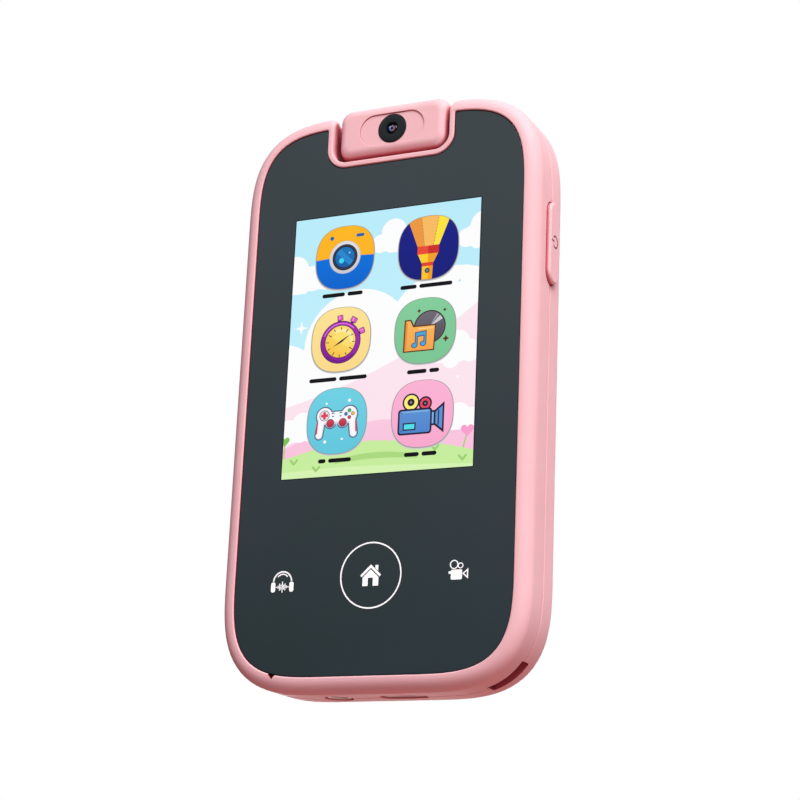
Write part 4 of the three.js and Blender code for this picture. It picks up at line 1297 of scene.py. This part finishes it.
def music_icon(art):
    tile(art, 10.0, 0.8, (132, 206, 156), (124, 198, 148))
    brown, disc_grey = (94, 48, 34), (112, 106, 116)
    art.disc(1.0, 0.7, 3.62, (62, 42, 48))
    art.disc(1.0, 0.7, 3.36, disc_grey, lower=(84, 78, 90))
    for start, end, shade in ((28, 46, (206, 206, 212)), (52, 60, (170, 168, 178))):
        art.shape([(1.0, 0.7)] + arc((1.0, 0.7), 3.25, start, end, 8), shade)
    for radius in (2.75, 2.1):
        art.stroke(arc((1.0, 0.7), radius, -60, 15, 20), 0.05, (70, 64, 76))
    art.shape([(-4.85, -4.45), (2.2, -4.45), (2.45, 1.2), (-2.5, 1.2), (-3.2, 2.62), (-4.7, 2.62)], brown)
    folder = [(-4.55, -4.18), (1.95, -4.18), (2.18, 0.92), (-2.72, 0.92), (-3.4, 2.32), (-4.42, 2.32)]
    art.shape(folder, (250, 184, 92), (246, 166, 74))
    art.shape([(-4.55, -4.18), (-4.1, -3.8), (-3.98, 1.9), (-4.42, 2.32)], (240, 142, 58))
    art.box(0.2, 0.45, 1.7, 0.14, (254, 210, 140), 0.1)
    note, rim = (76, 164, 222), (60, 50, 92)
    for grow, colour in ((0.18, rim), (0, note)):
        for x, z, top in ((-2.3, -3.05, -0.45), (-0.35, -2.8, -0.2)):
            art.disc(x, z, 0.55 + grow, colour, 0.8)
            art.stroke([(x + 0.4, z), (x + 0.4, top)], 0.15 + grow, colour)
        left, right = -2.05 - grow, 0.2 + grow
        beam = [(left, -1.15 - grow), (right, -0.9 - grow), (right, -0.15 + grow), (left, -0.4 + grow)]
        art.shape(beam, colour)
    for x, z, size in ((-1.5, 4.35, 0.5), (4.3, 4.1, 0.44), (4.75, -2.2, 0.74)):
        art.shape(moved(star(size, 0.5), x, z), brown)


def game_icon(art):
    tile(art, -9.34, -17.0, (112, 210, 230), (98, 200, 222))
    white, shade, rim, red = (250, 250, 253), (214, 214, 226), (84, 84, 116), (222, 66, 86)
    art.settle(-9.34, SCREEN_MIDDLE - 17.0, window=None, scale=0.96)
    for grow, colour, lift in ((0.24, rim, 0), (0.0, shade, 0), (-0.2, white, 0.16)):
        for side in (-1, 1):
            art.capsule((side * 3.6, 0.8), (side * 4.15, -3.05), 0.85 + grow, colour)
            art.disc(side * 3.0, 1.2 + lift, 1.9 + grow, colour)
            art.disc(side * 1.5, -0.35 + lift, 1.2 + grow, colour)
        art.box(0, 0.75 + lift, 3.0, 1.3 + grow, colour, 0.3)
    for side in (-1, 1):
        art.capsule((side * 4.62, -0.3), (side * 4.76, -2.6), 0.17, red)
    art.disc(-3.0, 1.3, 1.22, rim)
    art.disc(-3.0, 1.3, 1.08, (236, 232, 240))
    art.box(-3.0, 1.3, 0.86, 0.32, red, 0.1)
    art.box(-3.0, 1.3, 0.32, 0.86, red, 0.1)
    for side in (-1, 1):
        art.disc(side * 1.5, -0.5, 0.98, rim)
        art.disc(side * 1.5, -0.5, 0.82, red, lower=(176, 40, 66))
        art.box(side * 0.95, 1.75, 0.36, 0.13, (40, 130, 150), 0.1)
        art.box(side * 0.9, 1.0, 0.26, 0.13, (40, 130, 150), 0.1)
    art.disc(0, -0.55, 0.32, shade)
    buttons = ((3.0, 2.1), (3.85, 1.35), (3.05, 0.55), (2.2, 1.35))
    for (x, z), colour in zip(buttons, ((70, 184, 96), (246, 184, 60), (222, 60, 84), (56, 132, 204))):
        art.disc(x, z, 0.45, rim)
        art.disc(x, z, 0.34, colour)
    for x, z, radius in ((-2.6, 4.0, 0.26), (2.9, 4.35, 0.36), (-2.6, -4.6, 0.34), (1.5, -4.2, 0.26)):
        art.disc(x, z, radius, WHITE)


def video_icon(art):
    tile(art, 10.1, -17.0, (252, 180, 214), (250, 170, 206))
    blue, light_blue = (92, 146, 214), (128, 176, 230)
    for x, z, radius, shade in ((-2.6, 2.55, 1.9, (252, 240, 120)), (0.6, 2.1, 1.5, (232, 74, 104))):
        art.disc(x, z, radius, OUTLINE)
        art.disc(x, z, radius - 0.36, shade)
        art.disc(x, z, radius * 0.42, OUTLINE)
        art.disc(x, z, radius * 0.14, (150, 130, 150))
    art.shape([(1.8, -2.7), (2.8, -2.7), (4.9, -4.4), (4.9, 2.2), (2.8, 0.5), (1.8, 0.5)], OUTLINE)
    art.shape([(1.8, -2.3), (2.6, -2.3), (2.6, 0.1), (1.8, 0.1)], light_blue)
    art.shape([(3.0, -2.3), (4.52, -3.55), (4.52, 1.35), (3.0, 0.1)], blue)
    art.stroke([(3.65, -2.7), (3.65, 0.5)], 0.13, OUTLINE)
    art.box(-1.6, -1.6, 3.8, 2.75, OUTLINE, 0.7)
    art.box(-1.6, -1.6, 3.42, 2.37, blue, 0.4, lower=(80, 132, 204))
    art.box(-1.6, 0.5, 3.1, 0.16, light_blue, 0.1)
    art.box(-2.8, -2.6, 1.45, 0.8, OUTLINE, 0.1)
    art.box(-2.8, -2.6, 1.16, 0.52, (84, 222, 236), 0.05)
    for x, z in ((-4.55, 0.35), (-4.55, -3.5)):
        art.disc(x, z, 0.12, OUTLINE)


LABELS = [  # left, right, up, and the lengths of the dashes as shares
    (-14.3, -4.8, 10.75, (3, 2)),
    (3.95, 15.75, 10.65, (2, 4)),
    (-16.3, -2.9, -7.9, (3, 3)),
    (6.3, 13.5, -7.95, (2, 1)),
    (-13.2, -5.6, -25.5, (1, 3)),
    (6.4, 13.6, -25.5, (2, 2)),
]


def label_bars(art):
    """Dark rounded dashes that stand where a caption would."""
    half_height, space = 0.44, 0.6
    for left, right, up, shares in LABELS:
        art.settle(0, SCREEN_MIDDLE + up, ICON_LAYERS)
        unit = (right - left - space * (len(shares) - 1)) / sum(shares)
        x = left
        for share in shares:
            width = unit * share
            art.capsule((x + half_height, 0), (x + width - half_height, 0), half_height, INK)
            x += width + space


def screen_picture(material):
    """The display's whole picture, from the landscape up."""
    art = Artwork(0, SCREEN_MIDDLE)
    landscape(art)
    for icon in (camera_icon, flashlight_icon, stopwatch_icon, music_icon, game_icon, video_icon, label_bars):
        icon(art)
    return art.made("screen_picture", material)


PRINT = 0.02  # thickness of the ink
MARK_SCALE = 0.88  # of the three marks, inside the ring or alone


def home_mark(material):
    """A house in a ring."""
    art = Artwork(0.1, 23.53, PRINT, climb=False)
    art.hoop(circle(6.83, (0, 0), 96), circle(6.54, (0, 0), 96), WHITE)
    art.scale = MARK_SCALE
    roof = [(-2.62, 0.02), (0, 2.5), (2.62, 0.02), (2.25, -0.4), (0, 1.72), (-2.25, -0.4)]
    chimney = [(1.12, 1.62), (1.86, 0.92), (1.86, 2.3), (1.12, 2.3)]
    walls = [(-2.0, -2.48), (-0.66, -2.48), (-0.66, -0.6), (0.6, -0.6), (0.6, -2.48), (2.0, -2.48)]
    walls += [(2.0, -0.52), (0, 1.36), (-2.0, -0.52)]
    for outline in (roof, chimney, walls):
        art.shape(outline, WHITE)
    return art.made("home_key_print", material)


def headphones_mark(material):
    """Headphones with a row of bars between the ears."""
    art = Artwork(-19.9, 23.1, PRINT, MARK_SCALE, climb=False)
    art.stroke(arc((0, -0.05), 2.35, 2, 178, 32), 0.17, WHITE)
    art.stroke(arc((0, 0.1), 1.62, 38, 142, 20), 0.14, WHITE)
    for side in (-1, 1):
        art.box(side * 2.4, -1.3, 0.56, 1.2, WHITE, 0.5)
        art.box(side * 1.5, -1.3, 0.22, 0.11, WHITE, 0.1)
    for place_in_row, half_height in zip(range(-3, 4), (0.35, 0.85, 0.6, 1.3, 0.6, 0.85, 0.35)):
        art.box(place_in_row * 0.36, -1.3, 0.11, half_height, WHITE, 0.1)
    return art.made("headphones_key_print", material)


def movie_mark(material):
    """A film camera with two reels."""
    art = Artwork(19.25, 23.7, PRINT, MARK_SCALE, climb=False)
    art.hoop(circle(1.05, (-1.05, 1.3), 40), circle(0.8, (-1.05, 1.3), 40), WHITE)
    art.hoop(circle(0.68, (0.52, 1.02), 32), circle(0.46, (0.52, 1.02), 32), WHITE)
    art.shape(moved(rounded_box(1.36, -2.15, 0.12, 0.3, 4), -0.42, 0), WHITE)
    art.box(-1.98, -0.5, 0.42, 0.3, WHITE, 0.28)
    outer, inner = [(0.98, -0.85), (2.42, 0.35), (2.42, -2.05)], [(1.42, -0.85), (2.14, -0.25), (2.14, -1.45)]
    art.hoop(outer, inner, WHITE)
    return art.made("movie_key_print", material)


# ---------- light and floor ----------

KEY_FROM = Vector((0.69, -0.8, 1.1))
KEY_DISTANCE, KEY_SIZE, KEY_POWER = 1.5, 1.0, 27.7
WINDOW_FROM = Vector((-0.72, -0.42, 0.66))
WINDOW_DISTANCE, WINDOW_SIZE, WINDOW_POWER = 0.9, 0.2, 1.6
BACK_FROM = Vector((-0.35, 1, 0.12))
BACK_POWER = 15
ROOM_COLOURS = [  # by height, from straight down to straight up
    (0.01, (0.71, 0.325, 0.3)),
    (0.35, (0.54, 0.275, 0.26)),
    (0.5, (0.2, 0.165, 0.165)),
    (0.57, (0.2, 0.2, 0.2)),
    (0.7, (0.9, 0.94, 0.98)),
    (0.99, (0.36, 0.36, 0.37)),
]
LEFT_SHARE = (0.2, 0.14, 0.14, 1)  # how much of that the left side of the room gives
FLOOR_Z, FLOOR_REACH, FLOOR_THICKNESS = -120, 9000, 5


def soft_light(name, direction, distance, size, power):
    """A round soft light at a distance in metres, aimed at the phone's middle."""
    data = bpy.data.lights.new(name, "AREA")
    data.shape = "DISK"
    data.size = size
    data.energy = power
    light = bpy.data.objects.new(name, data)
    bpy.context.scene.collection.objects.link(light)
    middle = Vector((0, 0, HEIGHT / 2 * MM))
    light.location = middle + direction.normalized() * distance
    light.rotation_euler = direction.to_track_quat("Z", "Y").to_euler()
    return light


def make_world():
    """White to the camera, and a soft room to everything else: pinkish below, brighter above."""
    world = bpy.data.worlds.new("studio")
    world.use_nodes = True
    tree = world.node_tree
    tree.nodes.clear()
    direction = tree.nodes.new("ShaderNodeTexCoord")
    split = tree.nodes.new("ShaderNodeSeparateXYZ")
    height = tree.nodes.new("ShaderNodeMapRange")
    height.inputs["From Min"].default_value = -1
    ramp = tree.nodes.new("ShaderNodeValToRGB")
    stops = ramp.color_ramp.elements
    for position, colour in ROOM_COLOURS:
        stop = stops.new(position)
        stop.color = (*colour, 1)
    stops.remove(stops[0])
    stops.remove(stops[-1])
    side = tree.nodes.new("ShaderNodeMapRange")
    side.inputs["From Min"].default_value = -1
    side.inputs["From Max"].default_value = 0.2
    share, left, right, shade = colour_mix(tree, "MIX")
    left.default_value = LEFT_SHARE
    right.default_value = (1, 1, 1, 1)
    factor, full, dimmer, dimmed = colour_mix(tree, "MULTIPLY")
    factor.default_value = 1
    room = tree.nodes.new("ShaderNodeBackground")
    white = tree.nodes.new("ShaderNodeBackground")
    white.inputs["Color"].default_value = (1, 1, 1, 1)
    path = tree.nodes.new("ShaderNodeLightPath")
    mix = tree.nodes.new("ShaderNodeMixShader")
    output = tree.nodes.new("ShaderNodeOutputWorld")
    for start, end in (
        (direction.outputs["Generated"], split.inputs["Vector"]),
        (split.outputs["Z"], height.inputs["Value"]),
        (height.outputs["Result"], ramp.inputs["Fac"]),
        (split.outputs["X"], side.inputs["Value"]),
        (side.outputs["Result"], share),
        (ramp.outputs["Color"], full),
        (shade, dimmer),
        (dimmed, room.inputs["Color"]),
        (path.outputs["Is Camera Ray"], mix.inputs["Fac"]),
        (room.outputs["Background"], mix.inputs[1]),
        (white.outputs["Background"], mix.inputs[2]),
        (mix.outputs["Shader"], output.inputs["Surface"]),
    ):
        tree.links.new(start, end)
    bpy.context.scene.world = world


def floor_paper():
    """Pale paper that glows a little, so that it stays even."""
    nodes = Nodes("floor_paper")
    nodes.vary(linear(238, 236, 236), linear(234, 232, 232), 300, 0.7, 0.05)
    nodes.set(Emission_Color=(1, 1, 1, 1), Emission_Strength=0.5)
    return nodes.material


def make_floor():
    """A sheet below the phone. Only the camera sees it, so it adds no light."""
    floor = prism("z", rectangle(FLOOR_REACH, FLOOR_REACH), FLOOR_Z - FLOOR_THICKNESS, FLOOR_Z)
    floor.name = "floor"
    floor.data.materials.append(floor_paper())
    for ray in ("diffuse", "glossy", "transmission", "shadow"):
        setattr(floor, "visible_" + ray, False)


# ---------- assembly ----------


def place(piece, body, slot, *nodes):
    """Puts a piece on a body, in place of the CAD nodes named."""
    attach(piece, body)
    if nodes:
        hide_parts(*nodes)


make_camera()
make_world()
soft_light("key", KEY_FROM, KEY_DISTANCE, KEY_SIZE, KEY_POWER)
soft_light("back", BACK_FROM, KEY_DISTANCE, KEY_SIZE, BACK_POWER)
window = soft_light("window", WINDOW_FROM, WINDOW_DISTANCE, WINDOW_SIZE, WINDOW_POWER)
window.visible_diffuse = False
make_floor()
bpy.context.scene.view_settings.view_transform = "Standard"

pink = pink_plastic("pink_plastic", PINK, PINK_DEEPER)
# painted shade: the pink as it looks in shade, for the strap slot's walls
painted_shade_pink = pink_plastic("pink_plastic_in_shade", SHADE, SHADE_DEEPER)
steel = metal("steel", linear(196, 198, 202), linear(178, 180, 186))
plated = metal("plated_steel", linear(246, 244, 242), linear(236, 234, 232), 0.42, 0.45)
screw_steel = metal("screw_steel", linear(150, 152, 156), linear(130, 132, 138), 0.34)
black = plastic("black_plastic", linear(30, 30, 33), linear(24, 24, 27), 0.45)
lens_black = plastic("lens_black", linear(30, 37, 39), linear(26, 33, 35), 0.5, 3, sheen=0.12)
# painted shade: the lanyard post is coloured near black red, like the shade at the back of the strap slot
post_in_painted_shade = plastic("post_in_painted_shade", linear(16, 8, 9), linear(12, 6, 7), 0.6, 2)

place(front_case(pink, painted_shade_pink), "phone_body", "pink_plastic", "front_shell")
place(rear_case(pink, painted_shade_pink), "phone_body", "pink_plastic", "rear_shell")
place(glass_panel(panel_glass()), "phone_body", "panel_glass", "touch_panel")
place(head_front(pink), "camera_head", "pink_plastic", "camera_head_front")
place(tidy_shading(head_cover("head_rear", 1, pink)), "camera_head", "pink_plastic", "camera_head_rear")
place(lens_disc(lens_black), "camera_head", "black_plastic", "lens_bezel")
place(lens_dome(lens_painted_reflection()), "camera_head", "lens_glass", "lens_glass")
place(power_button(pink), "power_button", "pink_plastic", "power_button")
# painted shade: dark red in the power sign's groove
groove_painted_shade = ink_and_painted_light("groove_painted_shade", linear(104, 30, 34), linear(90, 24, 28))
place(power_mark(groove_painted_shade), "power_button", "pink_plastic")
place(jack_ring(plated), "phone_body", "steel", "headphone_jack_sleeve")
place(usb_frame(plated), "phone_body", "steel", "usb_shell")
for level, z in zip(("bottom", "top"), SCREW_HEIGHTS):
    for side, sign in (("left", -1), ("right", 1)):
        piece = screw(f"screw_{level}_{side}_head", (sign * SCREW_X, z), screw_steel)
        place(piece, "phone_body", "steel", f"screw_{level}_{side}")
place(screen_picture(lit_picture()), "phone_body", "display")
# painted light: the printed keys glow a little, though they are no lamp
white_ink = ink_and_painted_light("white_ink", linear(244, 247, 250), linear(236, 240, 244), 0.25)
for mark in (home_mark, headphones_mark, movie_mark):
    place(mark(white_ink), "phone_body", "panel_glass")

CARRIED_OVER = {
    black: (
        "panel_tape", "main_processor", "memory_chip", "headphone_jack_body",
        "usb_tongue", "switch_plunger", "lens_barrel", "camera_module",
    ),
    steel: (
        "backlight_frame", "microphone", "power_switch", "hinge_pin_left", "hinge_pin_right", "hinge_washer",
    ),
    plastic("speaker_black", linear(38, 38, 42), linear(28, 28, 32), 0.6, 3, 0.02): ("speaker",),
    plastic("display_cell", linear(24, 26, 34), linear(18, 20, 28), 0.2, 8): ("lcd_cell",),
    plastic("flex_film", linear(196, 122, 48), linear(182, 108, 40), 0.35, 5): ("lcd_flex",),
    plastic("wire_red", linear(170, 30, 34), linear(150, 24, 28), 0.45, 3): (
        "battery_lead", "speaker_lead", "camera_cable_head", "camera_cable_body",
    ),
    circuit_board(): ("main_board", "touch_key_board"),
    battery_foil(): ("battery",),
    post_in_painted_shade: ("lanyard_post",),
}
for material, nodes in CARRIED_OVER.items():
    for node in nodes:
        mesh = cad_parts[node].data
        mesh.materials.clear()
        mesh.materials.append(material)
